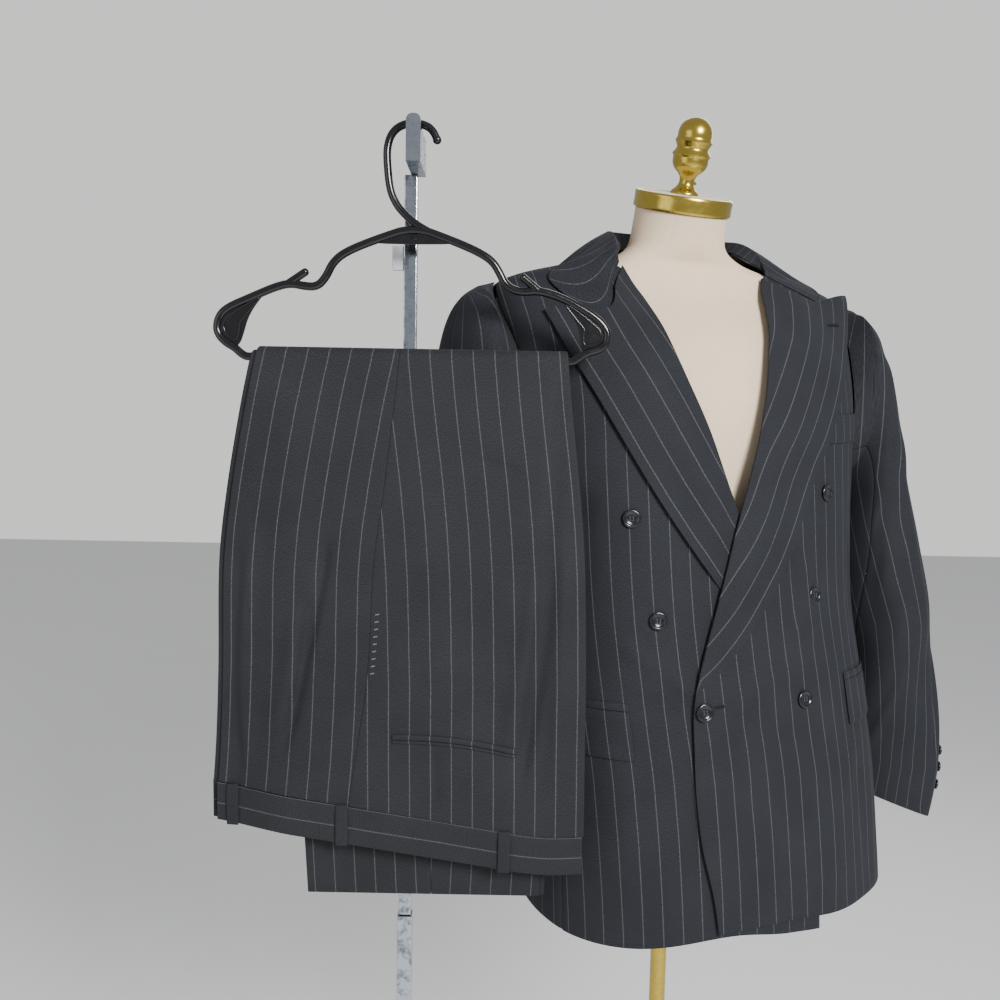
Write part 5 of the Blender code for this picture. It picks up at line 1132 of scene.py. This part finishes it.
thread = wear_and_painted_reflection_finish("thread", (0.045, 0.050, 0.060), (0.09, 0.095, 0.11), 0.75, 0.0, 2500.0, 0.8,
                     0.0, 0.2)
pale_thread = wear_and_painted_reflection_finish("pale_thread", (0.13, 0.135, 0.14), (0.07, 0.075, 0.08), 0.75, 0.0,
                          2500.0, 0.8, 0.0, 0.2)


# ---------------------------------------------------------------- building pieces
TURN = np.array(Matrix.Rotation(FORM_TURN, 3, "Z"))
TURNED = Matrix.Rotation(FORM_TURN, 4, "Z")


def show(name, mesh, materials, nodes=()):
    """Put a finished mesh in the scene as one piece of the suit or of what holds it."""
    mesh.name = name
    for material in materials:
        mesh.materials.append(material)
    piece = bpy.data.objects.new(name, mesh)
    bpy.context.scene.collection.objects.link(piece)
    if nodes:
        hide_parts(*nodes)
    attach(piece, "root")
    return piece


def mesh_of(bm, sharp=None):
    mesh = bpy.data.meshes.new("work")
    bm.to_mesh(mesh)
    bm.free()
    mesh.shade_smooth()
    if sharp:
        mesh.set_sharp_from_angle(angle=math.radians(sharp))
    return mesh


def cloth_mesh(surface, columns, rows, turned=True):
    """A grid moved onto a surface, with the cloth's own coordinates in metres as its UV map."""
    bm = bmesh.new()
    bmesh.ops.create_grid(bm, x_segments=columns, y_segments=rows, size=0.5)
    mesh = mesh_of(bm)
    flat = np.empty(len(mesh.vertices) * 3)
    mesh.vertices.foreach_get("co", flat)
    flat = flat.reshape(-1, 3)
    a, b = np.clip(flat[:, 0] + 0.5, 0, 1), np.clip(flat[:, 1] + 0.5, 0, 1)
    spots, u, v = surface(a, b, 0.0)
    raised = surface(a, b, 0.001)[0] - spots
    if turned:
        spots, raised = spots @ TURN.T, raised @ TURN.T
    mesh.vertices.foreach_set("co", spots.ravel())
    mesh.update()
    corners = np.empty(len(mesh.loops), dtype=int)
    mesh.loops.foreach_get("vertex_index", corners)
    layer = mesh.uv_layers.new(name="cloth")
    layer.data.foreach_set("uv", np.stack([u, v], -1)[corners].ravel())
    normals = np.empty(len(mesh.vertices) * 3)
    mesh.vertex_normals.foreach_get("vector", normals)
    if np.sum(normals.reshape(-1, 3) * raised) < 0:
        mesh.flip_normals()
    return mesh


Cut = namedtuple("Cut", "width length area")


def cloth_piece(name, surface, columns, rows, wall, materials, turned=True,
                nodes=None):
    mesh = cloth_mesh(surface, columns, rows, turned)
    piece = show(name, mesh, materials, [name.replace("_cloth", "")] if nodes is None
                 else nodes)
    wall_mod = piece.modifiers.new("wall", "SOLIDIFY")
    wall_mod.thickness = wall
    wall_mod.offset = -1.0
    wall_mod.use_even_offset = False
    if len(materials) > 1:
        wall_mod.material_offset = 1
    soft = piece.modifiers.new("rounded_edge", "BEVEL")
    soft.width = wall * 0.35
    soft.segments = 2
    soft.limit_method = "ANGLE"
    soft.angle_limit = math.radians(60)
    return piece


def spun(profile, steps, place=Matrix.Identity(4), sharp=35):
    """A turned solid from (radius, height) pairs, closed at the axis."""
    bm = bmesh.new()
    line = [bm.verts.new((radius, 0, height)) for radius, height in profile]
    edges = [bm.edges.new(pair) for pair in zip(line, line[1:])]
    bmesh.ops.spin(bm, geom=line + edges, cent=(0, 0, 0), axis=(0, 0, 1), angle=math.tau,
                   steps=steps, use_merge=True,
                   use_normal_flip=False, use_duplicate=False)
    bmesh.ops.remove_doubles(bm, verts=bm.verts[:], dist=0.00002)
    outwards(bm)
    bm.transform(place)
    return mesh_of(bm, sharp)


def outwards(bm):
    bmesh.ops.recalc_face_normals(bm, faces=bm.faces)
    if bm.calc_volume(signed=True) < 0:
        bmesh.ops.reverse_faces(bm, faces=bm.faces[:])


# ---------------------------------------------------------------- jacket
WORDS = ((1, "left"), (-1, "right"))


def make_jacket():
    back_seam = SLEEVE_BACK_SEAM - 360.0
    for side, word in WORDS:
        cloth_piece("jacket_front_%s_cloth" % word, lambda a, b, d, s=side: front_surface(s, a, b,
                                                                                          d), 72,
                    150,
                    LINING_WALL, [jacket_wool, lining])
        cloth_piece("jacket_side_%s_cloth" % word, lambda a, b, d, s=side: side_surface(s, a, b, d),
                    32, 90,
                    LINING_WALL, [jacket_wool, lining])
        cloth_piece("jacket_back_%s_cloth" % word, lambda a, b, d, s=side: back_surface(s, a, b, d),
                    56, 130,
                    LINING_WALL, [jacket_wool, lining])
        cloth_piece("lapel_%s_cloth" % word, lambda a, b, d, s=side: lapel_surface(s, a, b, d), 56,
                    130,
                    LINING_WALL, [lapel_wool])
        cloth_piece("sleeve_%s_upper_cloth" % word,
                    lambda a, b, d, s=side: sleeve_surface(s, back_seam, SLEEVE_FRONT_SEAM, a, b,
                                                           d), 72, 120,
                    LINING_WALL, [sleeve_wool, lining])
        cloth_piece("sleeve_%s_under_cloth" % word,
                    lambda a, b, d, s=side: sleeve_surface(s, SLEEVE_FRONT_SEAM, SLEEVE_BACK_SEAM,
                                                           a, b, d), 40, 120,
                    LINING_WALL, [sleeve_wool, lining])
    cloth_piece("collar_cloth", offset_surface(collar_surface), 160, 44, LINING_WALL, [collar_wool])


def make_pockets():
    for side, word, flap in ((1, "left", LEFT_FLAP), (-1, "right", RIGHT_FLAP)):
        start = float(JACKET.arc(JACKET.angle_at_x(flap.start_x, flap.top), flap.top))
        cloth_piece("pocket_jet_%s_cloth" % word,
                    lambda a, b, d, s=side, f=flap, st=start: patch_surface(
                        s, st, f.width, f.top + JET_HEIGHT, f.top + SEAM, f.slant, 0.0018, 0.0006,
                                                                            a, b, d),
                    60, 8, 0.0008, [jacket_wool])
        cloth_piece("pocket_flap_%s_cloth" % word,
                    lambda a, b, d, s=side, f=flap, st=start: patch_surface(
                        s, st, f.width, f.top, f.top - f.drop, f.slant, 0.0021, 0.0008, a, b, d),
                    60, 24, 0.0010, [jacket_wool])
    x0, x1, z0, z1, slant = BREAST_WELT
    start = float(JACKET.arc(JACKET.angle_at_x(x0, z0), z0))
    end = float(JACKET.arc(JACKET.angle_at_x(x1, z0), z0))
    cloth_piece("breast_pocket_welt_cloth",
                lambda a, b, d: patch_surface(1, start, end - start, z1, z0, slant, 0.0018, 0.0006,
                                              a, b, d),
                40, 16, 0.0008, [jacket_wool])


BUTTON_RADIUS, CUFF_BUTTON_RADIUS, BUTTON_THICKNESS = 0.0105, 0.0073, 0.0034


def button_mesh(radius, place):
    """A turned button with a raised rim round a dished middle; the sewing holes and their thread are a mesh of their
    own.
    """
    thick = BUTTON_THICKNESS
    profile = [(0.0, thick * 0.50), (radius * 0.30, thick * 0.52), (radius * 0.56, thick * 0.60),
               (radius * 0.66, thick * 0.78), (radius * 0.74, thick * 0.97),
               (radius * 0.81, thick * 1.0),
               (radius * 0.90, thick * 0.96), (radius * 0.97, thick * 0.82), (radius, thick * 0.62),
               (radius * 0.97, thick * 0.30), (radius * 0.90, thick * 0.06), (radius * 0.80, 0.0),
               (0.0, 0.0)]
    return spun(profile, 40, place)


def hole_meshes(radius, place):
    """Four dark holes and two short bars of thread in the button's dish."""
    bm = bmesh.new()
    top = BUTTON_THICKNESS * 0.56
    for x in (-1, 1):
        for y in (-1, 1):
            spot = Matrix.Translation((x * radius * 0.17, y * radius * 0.17, top))
            bmesh.ops.create_cone(bm, cap_ends=True, segments=10, radius1=radius * 0.085,
                                  radius2=radius * 0.085,
                                  depth=0.0002, matrix=spot)
        bar = (Matrix.Translation((x * radius * 0.17, 0,
                                   top + 0.0002)) @ Matrix.Rotation(math.radians(90), 4, "X"))
        bmesh.ops.create_cone(bm, cap_ends=True, segments=8, radius1=radius * 0.045,
                              radius2=radius * 0.045,
                              depth=radius * 0.30, matrix=bar)
    bm.transform(place)
    return mesh_of(bm, 35)


def put_button(name, radius, spot, outward):
    place = TURNED @ (Matrix.Translation(Vector(spot)) @ Vector(outward).to_track_quat("Z",
                                                                                       "Y").to_matrix().to_4x4())
    show(name + "_shell", button_mesh(radius, place), [button_horn], [name])
    show(name + "_sewing", hole_meshes(radius, place), [thread])


def make_buttons():
    for row in FRONT_BUTTONS:
        side = 1 if row.panel == "left" else -1
        x, height = np.array([row.x]), np.array([row.height])
        angle = JACKET.angle_at_x(x, height)
        lift = front_lift(side, x, height) + drape(JACKET.arc(angle, height), height)
        spot = JACKET.point(angle, height, lift + 0.0005)[0]
        put_button(row.name, BUTTON_RADIUS, spot, JACKET.point(angle, height, lift + 0.0105)[0]
                   - spot)
    for side, word in WORDS:
        for number in range(3):
            b = 1 - (CUFF_BUTTON_START + number * CUFF_BUTTON_PITCH) / SLEEVE_LENGTH
            a = np.array([0.055, 0.050])
            spots = sleeve_surface(side, SLEEVE_BACK_SEAM - 360.0, SLEEVE_FRONT_SEAM, a,
                                   np.array([b, b]), 0.0004)[0]
            outer = sleeve_surface(side, SLEEVE_BACK_SEAM - 360.0, SLEEVE_FRONT_SEAM, a,
                                   np.array([b, b]), 0.0104)[0]
            put_button("cuff_button_%s_%d" % (word, number + 1), CUFF_BUTTON_RADIUS, spots[0],
                       outer[0] - spots[0])


def make_buttonholes():
    """Worked buttonholes: a raised bar of dark thread on the left lapel's peak and one beside the fastened button."""
    def on_lapel(a, b, out):
        return lapel_surface(1, 0.68 + 0.15 * a, 0.925 + 0.007 * (b - 0.5),
                             0.0003 + 0.0007 * np.sin(np.pi * b) + out)

    def on_front(a, b, out):
        start = float(JACKET.arc(JACKET.angle_at_x(-0.050, 1.058), 1.058))
        return patch_surface(1, start, 0.011, 1.0605, 1.0570, 0.001,
                             0.0004 + 0.0006 * np.sin(np.pi * b), 0.0, a, b, out)
    show("lapel_buttonhole", cloth_mesh(on_lapel, 30, 8), [dark_thread])
    show("front_buttonhole", cloth_mesh(on_front, 20, 8), [dark_thread])


def make_side_pocket_stitches():
    """Short pale stitches that hold the side pocket's mouth, on the trousers' side seam."""
    for number in range(9):
        top = 1.168 - 0.0080 * number

        def stitch(a, b, out, top=top):
            x = -0.3535 - 0.0006 * number + 0.0042 * a
            height = top - 0.0014 * b + 0.001 * a
            y = trouser_face(x, height) - 0.0002 - 0.0004 * np.sin(np.pi * b) - out
            return np.stack([x, y, height], -1), x, height
        show("side_pocket_stitch_%d" % (number + 1), cloth_mesh(stitch, 8, 4, turned=False),
             [pale_thread])


# ---------------------------------------------------------------- trousers
def make_trousers():
    for leg in ("right", "left"):
        for part in ("front", "back"):
            columns = 130 if leg == "right" else 60
            cloth_piece("trousers_%s_%s_cloth" % (part, leg), lambda a, b, d, g=leg,
                        p=part: leg_surface(g, p, a, b, d),
                        columns, 220, 0.0008, [trouser_wool],
                        turned=False)
        cloth_piece("waistband_%s_cloth" % leg, lambda a, b, d, g=leg: band_surface(g, a, b, d),
                    120, 20, 0.0008,
                    [band_wool],
                    turned=False)
        for number, place in enumerate(LOOP_PLACES):
            make_belt_loop(leg, number + 1, place)
        make_back_welt(leg)


def band_outer(leg, x):
    """World y of a waistband's outer face at one x."""
    spots = band_surface(leg, np.linspace(0, 1, 200), np.full(200, 0.5), 0.0)[0]
    return np.interp(x, spots[:, 0], spots[:, 1])


def make_belt_loop(leg, number, place):
    way = -1 if leg == "right" else 1
    seam = float(waist_seam(place))

    def surface(a, b, out):
        x = place + LOOP_WIDTH * (a - 0.5)
        height = seam - WAISTBAND - 0.002 + LOOP_LENGTH * b
        bulge = 0.0014 * np.sin(np.pi * b) + 0.0005 * ease(np.minimum(a, 1 - a) * LOOP_WIDTH
                                                           / 0.002)
        return np.stack([x, band_outer(leg, x) + way * (0.0012 + bulge + out), height],
                        -1), x, height
    cloth_piece("belt_loop_%s_%d_cloth" % (leg, number), surface, 12, 36, 0.0008,
                [plain_trouser_wool],
                turned=False)


def make_back_welt(leg):
    """Jetted back pocket: two lips with a dark slit between them."""
    way = -1 if leg == "right" else 1
    for part, low, high, proud in (("", 0.40, 1.0, 0.0016), ("_lower", 0.0, 0.34, 0.0013)):
        def surface(a, b, out, low=low, high=high, proud=proud):
            x = WELT_ENDS[0] + (WELT_ENDS[1] - WELT_ENDS[0]) * a
            middle = WELT_MIDDLE - WELT_FALL * a + WELT_BOW * np.sin(np.pi * a)
            height = middle + WELT_HEIGHT * (low + (high - low) * b - 0.5)
            lip = proud + 0.0007 * np.sin(np.pi * b)
            if leg == "right":
                y = trouser_face(x, height)
            else:
                y = np.full_like(x, HANGER_Y - LEG_LAY - WIRE_RADIUS)
            return np.stack([x, y + way * (lip + out), height], -1), x + 0.0113, height
        cloth_piece("back_pocket_lip%s_%s_cloth" % (part, leg), surface, 70, 8, 0.0007,
                    [trouser_wool],
                    turned=False,
                    nodes=["back_pocket_welt_" + leg] if not part else [])


# ---------------------------------------------------------------- dress form
def neck_frame():
    """The neck's own frame: its origin is under the cap and its z leans forward."""
    return Matrix.Translation(CAP_CENTRE) @ Matrix.Rotation(NECK_LEAN, 4, "X")


FORM_INSET_ROWS = [(0.8700, 0.0300), (1.0500, 0.0290), (1.1700, 0.0220), (1.3500, 0.0190),
                   (1.4600, 0.0120),
                   (1.5000, 0.0100), (1.5250, 0.0090), (1.5400, 0.0060), (1.5570, 0.0034)]


def make_form_torso():
    """The padded body under the jacket: rings of the jacket's own body, drawn in, up to the leaning neck."""
    levels, around = 96, 144
    inset_at = lookup(np.array(FORM_INSET_ROWS), 0, 1)
    bm = bmesh.new()
    bmesh.ops.create_uvsphere(bm, u_segments=around, v_segments=levels + 1, radius=1.0)
    mesh = mesh_of(bm)
    flat = np.array([vertex.co for vertex in mesh.vertices])
    level = np.round((np.arcsin(np.clip(flat[:, 2], -1, 1)) / math.pi + 0.5) * (levels + 1)) - 1
    turn = np.arctan2(flat[:, 0], -flat[:, 1])
    angle = np.degrees(turn)
    share = np.clip(level / (levels - 1), 0, 1)
    body_share = 0.72
    height = TORSO_BOTTOM + (1.556 - TORSO_BOTTOM) * np.minimum(share / body_share, 1) ** 0.8
    body = JACKET.point(angle, height, -inset_at(height))
    last = JACKET.point(angle, np.full_like(height, 1.556), -inset_at(1.556) * np.ones_like(height))
    frame_matrix = np.array(neck_frame())
    rim = CAP_RADIUS - 0.0035
    top = np.stack([rim * np.sin(turn), -rim * np.cos(turn), np.full_like(turn, -0.0004),
                    np.ones_like(turn)], -1)
    top = (top @ frame_matrix.T)[:, :3]
    rings = [last]
    for row in FORM_NECK_ROWS:
        deep = np.where(np.abs(angle) < 90, row.front, row.back)
        rings.append(np.stack([row.half_width * np.sin(turn) + row.shift_x,
                               -deep * np.cos(turn) + row.shift_y,
                               np.full_like(turn, row.height)], -1))
    rings.append(top)
    at = np.clip((share - body_share) / (1 - body_share), 0, 1) * (len(rings) - 1)
    i = np.minimum(at.astype(int), len(rings) - 2)
    t = (at - i)[:, None]
    stack = np.array(rings)
    pick = np.arange(len(turn))
    p0, p1 = stack[np.maximum(i - 1, 0), pick], stack[i, pick]
    p2, p3 = stack[i + 1, pick], stack[np.minimum(i + 2, len(rings) - 1), pick]
    neck = 0.5 * (2 * p1 + (p2 - p0) * t + (2 * p0 - 5 * p1 + 4 * p2 - p3) * t ** 2
                  + (3 * p1 - p0 - 3 * p2 + p3) * t ** 3)
    spot = np.where((share <= body_share)[:, None], body, neck)
    groove = np.exp(-((np.abs(angle) - 38.0) / 1.1) ** 2) + np.exp(-(angle / 0.9) ** 2)
    outward = unit(spot * np.array([1.0, 1.0, 0.0]))
    spot -= outward * (0.0010 * groove * (share < 0.99))[:, None]
    spot[level < 0] = (0.0, -0.005, TORSO_BOTTOM)
    spot[level > levels - 1] = np.array(neck_frame() @ Vector((0, 0, -0.0004)))
    spot = spot @ TURN.T
    mesh.vertices.foreach_set("co", spot.ravel())
    mesh.update()
    bm = bmesh.new()
    bm.from_mesh(mesh)
    outwards(bm)
    mesh = mesh_of(bm, 50)
    show("form_torso_cover", mesh, [linen], ["form_torso"])


NeckRow = namedtuple("NeckRow", "height half_width front back shift_x shift_y")
FORM_NECK_ROWS = [
    NeckRow(1.5640, 0.112, 0.048, 0.060, -0.010, 0.000), NeckRow(1.5720, 0.084, 0.050, 0.056,
                                                                 -0.014, -0.004),
    NeckRow(1.5820, 0.066, 0.052, 0.052, -0.018, -0.009), NeckRow(1.5950, 0.059, 0.053, 0.053,
                                                                  -0.020, -0.0145),
]


def make_cap_and_finial():
    place = TURNED @ neck_frame()
    top, radius = CAP_HEIGHT, CAP_RADIUS
    band = [(0.0, 0.0), (radius - 0.0030, 0.0), (radius - 0.0010, 0.0006), (radius, 0.0024),
            (radius - 0.0002, 0.0050),
            (radius - 0.0004, top * 0.5), (radius - 0.0002, top - 0.0050), (radius, top - 0.0024),
            (radius - 0.0010, top - 0.0006), (radius - 0.0028, top),
            (radius - 0.0050, top - 0.0002),
            (radius - 0.0062, top - 0.0016), (0.0, top - 0.0016)]
    show("neck_cap_band", spun(band, 96, place), [gold], ["form_neck_cap"])
    disc = [(0.0, top - 0.0014), (radius - 0.0068, top - 0.0014), (radius - 0.0064, top - 0.0012),
            (radius - 0.0068, top - 0.0005), (radius - 0.0090, top - 0.0002), (0.0, top)]
    show("neck_cap_disc", spun(disc, 72, place), [cap_linen])
    foot = top + 0.0004
    profile = [(0.0170, 0.0), (0.0172, 0.0008), (0.0160, 0.0034), (0.0124, 0.0066),
               (0.0098, 0.0104), (0.0090, 0.0140),
               (0.0094, 0.0186), (0.0122, 0.0230), (0.0180, 0.0284), (0.0208, 0.0340),
               (0.0214, 0.0394), (0.0214, 0.0420),
               (0.0232, 0.0450), (0.0216, 0.0474), (0.0198, 0.0500), (0.0190, 0.0525),
               (0.0196, 0.0546), (0.0210, 0.0572),
               (0.0224, 0.0600), (0.0210, 0.0622), (0.0202, 0.0646), (0.0203, 0.0680),
               (0.0199, 0.0716), (0.0184, 0.0762),
               (0.0160, 0.0800), (0.0126, 0.0832), (0.0085, 0.0854), (0.0040, 0.0867),
               (0.0, 0.0870)]
    sharp_rows = {12, 18}
    smooth = [(0.0, 0.0)]
    for index in range(len(profile) - 1):
        steps = 1 if index in sharp_rows or index + 1 in sharp_rows else 3
        for step in range(steps):
            smooth.append(tuple(spline(profile, index + step / steps)) if steps > 1
                          else profile[index])
    smooth.append(profile[-1])
    show("finial_turned", spun([(max(r, 0.0), z + foot) for r, z in smooth], 72, place, 40), [gold],
         ["form_finial"])
    screw = place @ Matrix.Translation((0.0094, -0.0010,
                                        foot + 0.0130)) @ Matrix.Rotation(math.radians(90), 4, "Y")
    show("finial_grub_screw", spun([(0.0, 0.0), (0.0022, 0.0), (0.0022, 0.0026), (0.0017, 0.0032),
                                    (0.0, 0.0032)], 20,
                                   screw), [gold])


# ---------------------------------------------------------------- hanger
def rounded_route(points, cyclic, rounds):
    """Cut the corners of a route so that its bends are smooth (Chaikin), keeping its ends."""
    for _ in range(rounds):
        pairs = list(zip(points, points[1:] + points[:1])) if cyclic else list(zip(points,
                                                                                   points[1:]))
        route = []
        for (ax, az), (bx, bz) in pairs:
            route += [(0.75 * ax + 0.25 * bx, 0.75 * az + 0.25 * bz),
                      (0.25 * ax + 0.75 * bx, 0.25 * az + 0.75 * bz)]
        if not cyclic:
            route = [points[0]] + route[1:-1] + [points[-1]]
        points = route
    return points


def curve_mesh(curve, place=Matrix.Identity(4)):
    holder = bpy.data.objects.new("route", curve)
    bpy.context.scene.collection.objects.link(holder)
    graph = bpy.context.evaluated_depsgraph_get()
    mesh = bpy.data.meshes.new_from_object(holder.evaluated_get(graph))
    bpy.data.objects.remove(holder, do_unlink=True)
    bm = bmesh.new()
    bm.from_mesh(mesh)
    bmesh.ops.remove_doubles(bm, verts=bm.verts[:], dist=0.00002)
    outwards(bm)
    bm.transform(place)
    return mesh_of(bm, 40)


def rod_mesh(points, cyclic, radius, rounds=2, depth=HANGER_Y):
    curve = bpy.data.curves.new("rod", "CURVE")
    curve.dimensions = "3D"
    curve.bevel_depth = radius
    curve.bevel_resolution = 5
    curve.use_fill_caps = True
    route = rounded_route(points, cyclic, rounds)
    line = curve.splines.new("POLY")
    line.points.add(len(route) - 1)
    for target, (x, z) in zip(line.points, route):
        target.co = (x, depth, z, 1)
    line.use_cyclic_u = cyclic
    return curve_mesh(curve)


def plate_mesh(outline, thickness, bevel):
    curve = bpy.data.curves.new("plate", "CURVE")
    curve.dimensions = "2D"
    curve.fill_mode = "BOTH"
    curve.extrude = thickness / 2 - bevel
    curve.bevel_depth = bevel
    curve.bevel_resolution = 3
    curve.offset = -bevel
    route = rounded_route(outline, True, 2)
    line = curve.splines.new("POLY")
    line.points.add(len(route) - 1)
    for target, (x, z) in zip(line.points, route):
        target.co = (x, z, 0, 1)
    line.use_cyclic_u = True
    return curve_mesh(curve, Matrix.Translation((0, HANGER_Y,
                                                 0)) @ Matrix.Rotation(math.radians(90), 4, "X"))


def shrunk(outline, distance):
    """The same outline drawn in towards its middle."""
    middle = np.mean(outline, axis=0)
    return [tuple(np.array(p) + unit(middle - np.array(p)) * distance) for p in outline]


def make_hanger():
    show("hanger_bars", rod_mesh(HANGER_FRAME, True, WIRE_RADIUS), [black_plastic],
         ["hanger"])
    show("hanger_hook_rod", rod_mesh(HANGER_HOOK, False, WIRE_RADIUS * 0.94), [black_plastic])
    ball = bmesh.new()
    x, z = HANGER_HOOK[0]
    bmesh.ops.create_uvsphere(ball, u_segments=24, v_segments=16, radius=WIRE_RADIUS * 1.05,
                              matrix=Matrix.Translation((x, HANGER_Y, z)))
    show("hanger_hook_tip", mesh_of(ball), [black_plastic])
    for number, tip in enumerate(HANGER_TIPS):
        show("hanger_strap_peg_%d" % (number + 1), rod_mesh(tip, False, WIRE_RADIUS * 0.95),
             [black_plastic])
        end = bmesh.new()
        bmesh.ops.create_uvsphere(end, u_segments=20, v_segments=14, radius=WIRE_RADIUS * 0.95,
                                  matrix=Matrix.Translation((tip[1][0], HANGER_Y, tip[1][1])))
        show("hanger_strap_peg_end_%d" % (number + 1), mesh_of(end), [black_plastic])
    for number, outline in enumerate(HANGER_PADDLES):
        show("hanger_paddle_%d" % (number + 1), plate_mesh(outline, WEB_THICKNESS, 0.0006),
             [black_plastic])
        show("hanger_paddle_rim_%d" % (number + 1), rod_mesh(shrunk(outline, 0.0075), True, 0.0011,
                                                             2,
             HANGER_Y - WEB_THICKNESS / 2), [black_plastic])
    show("hanger_neck_web", plate_mesh(HANGER_WEB, WEB_THICKNESS, 0.0006), [black_plastic])
    rivet = (Matrix.Translation((-0.3165, HANGER_Y - WEB_THICKNESS / 2,
                                 1.5640)) @ Matrix.Rotation(math.radians(90), 4, "X"))
    show("hanger_neck_rivet", spun([(0.0, 0.0), (0.0030, 0.0), (0.0030, 0.0010), (0.0022, 0.0018),
                                    (0.0, 0.0020)], 24,
                                   rivet), [black_plastic])


# ---------------------------------------------------------------- finishes of the parts that keep their shape
def finish_nodes():
    for material, names in ((chrome, ("stand_base", "stand_lower_tube", "stand_upright",
                                      "stand_arm")),
                            (grey_paint, ("stand_bracket",)), (gold, ("form_pole", "form_base"))):
        for name in names:
            node = bpy.data.objects[name]
            for slot in node.material_slots:
                slot.material = material


# ---------------------------------------------------------------- studio
def add_stage():
    floor_material, tree, shader = start_material("studio_floor", specular=0.2)
    place = tree.nodes.new("ShaderNodeTexCoord")
    tone = noise(tree, place.outputs["Object"], 1.5, 2.0)
    wire(tree, mix_colours(tree, tone, (0.93, 0.93, 0.92), (0.96, 0.96, 0.95)),
         shader.inputs["Base Color"])
    shader.inputs["Roughness"].default_value = 0.9
    bm = bmesh.new()
    bmesh.ops.create_grid(bm, x_segments=1, y_segments=1, size=8.0)
    floor_mesh = mesh_of(bm)
    floor = bpy.data.objects.new("studio_floor", floor_mesh)
    floor.data.materials.append(floor_material)
    bpy.context.scene.collection.objects.link(floor)
    floor.location = (0, 0, -0.0005)


def add_light(name, place, target, size, power, colour=(1, 1, 1)):
    lamp = bpy.data.lights.new(name, "AREA")
    lamp.shape = "RECTANGLE"
    lamp.size, lamp.size_y = size
    lamp.energy = power
    lamp.color = colour
    light = bpy.data.objects.new(name, lamp)
    bpy.context.scene.collection.objects.link(light)
    light.matrix_world = (Matrix.Translation(Vector(place))
                          @ (Vector(place) - Vector(target)).to_track_quat("Z",
                                                                           "Y").to_matrix().to_4x4())


def add_lights():
    world = bpy.data.worlds.new("studio_air")
    bpy.context.scene.world = world
    world.use_nodes = True
    tree = world.node_tree
    glow = tree.nodes["Background"]
    glow.inputs["Color"].default_value = (0.93, 0.94, 0.96, 1)
    glow.inputs["Strength"].default_value = 0.50
    wall = tree.nodes.new("ShaderNodeBackground")
    wall.inputs["Color"].default_value = (0.96, 0.96, 0.94, 1)
    wall.inputs["Strength"].default_value = 0.95
    seen = tree.nodes.new("ShaderNodeLightPath")
    choose = tree.nodes.new("ShaderNodeMixShader")
    wire(tree, seen.outputs["Is Camera Ray"], choose.inputs[0])
    wire(tree, glow.outputs[0], choose.inputs[1])
    wire(tree, wall.outputs[0], choose.inputs[2])
    wire(tree, choose.outputs[0], tree.nodes["World Output"].inputs["Surface"])
    add_light("key", (1.0, -2.3, 2.3), (-0.1, 0, 1.2), (0.8, 0.8), 120)
    add_light("fill", (-2.2, -1.8, 1.5), (0, 0, 1.2), (1.6, 2.0), 16)
    add_light("rim", (0.8, 1.8, 2.6), (0, 0, 1.4), (1.6, 1.2), 15)


CAMERA_PLACE = (-0.223, -1.27, 1.40)
CAMERA_PITCH = math.radians(5.85)
CAMERA_ROLL = math.radians(1.05)


def add_camera():
    """Looks along +Y, a little down, with a slight roll; the lens is as long as the sensor is wide."""
    camera = bpy.data.cameras.new("camera")
    camera.lens = 36.0
    camera.sensor_width = 36.0
    holder = bpy.data.objects.new("camera", camera)
    bpy.context.scene.collection.objects.link(holder)
    ahead = Vector((0, math.cos(CAMERA_PITCH), -math.sin(CAMERA_PITCH)))
    level = Vector((1, 0, 0))
    upright = level.cross(ahead)
    right = level * math.cos(CAMERA_ROLL) + upright * math.sin(CAMERA_ROLL)
    up = upright * math.cos(CAMERA_ROLL) - level * math.sin(CAMERA_ROLL)
    turn = Matrix((right, up, -ahead)).transposed().to_4x4()
    holder.matrix_world = Matrix.Translation(CAMERA_PLACE) @ turn
    bpy.context.scene.camera = holder


add_camera()
make_jacket()
make_pockets()
make_buttons()
make_buttonholes()
make_trousers()
make_side_pocket_stitches()
make_form_torso()
make_cap_and_finial()
make_hanger()
finish_nodes()
add_stage()
add_lights()
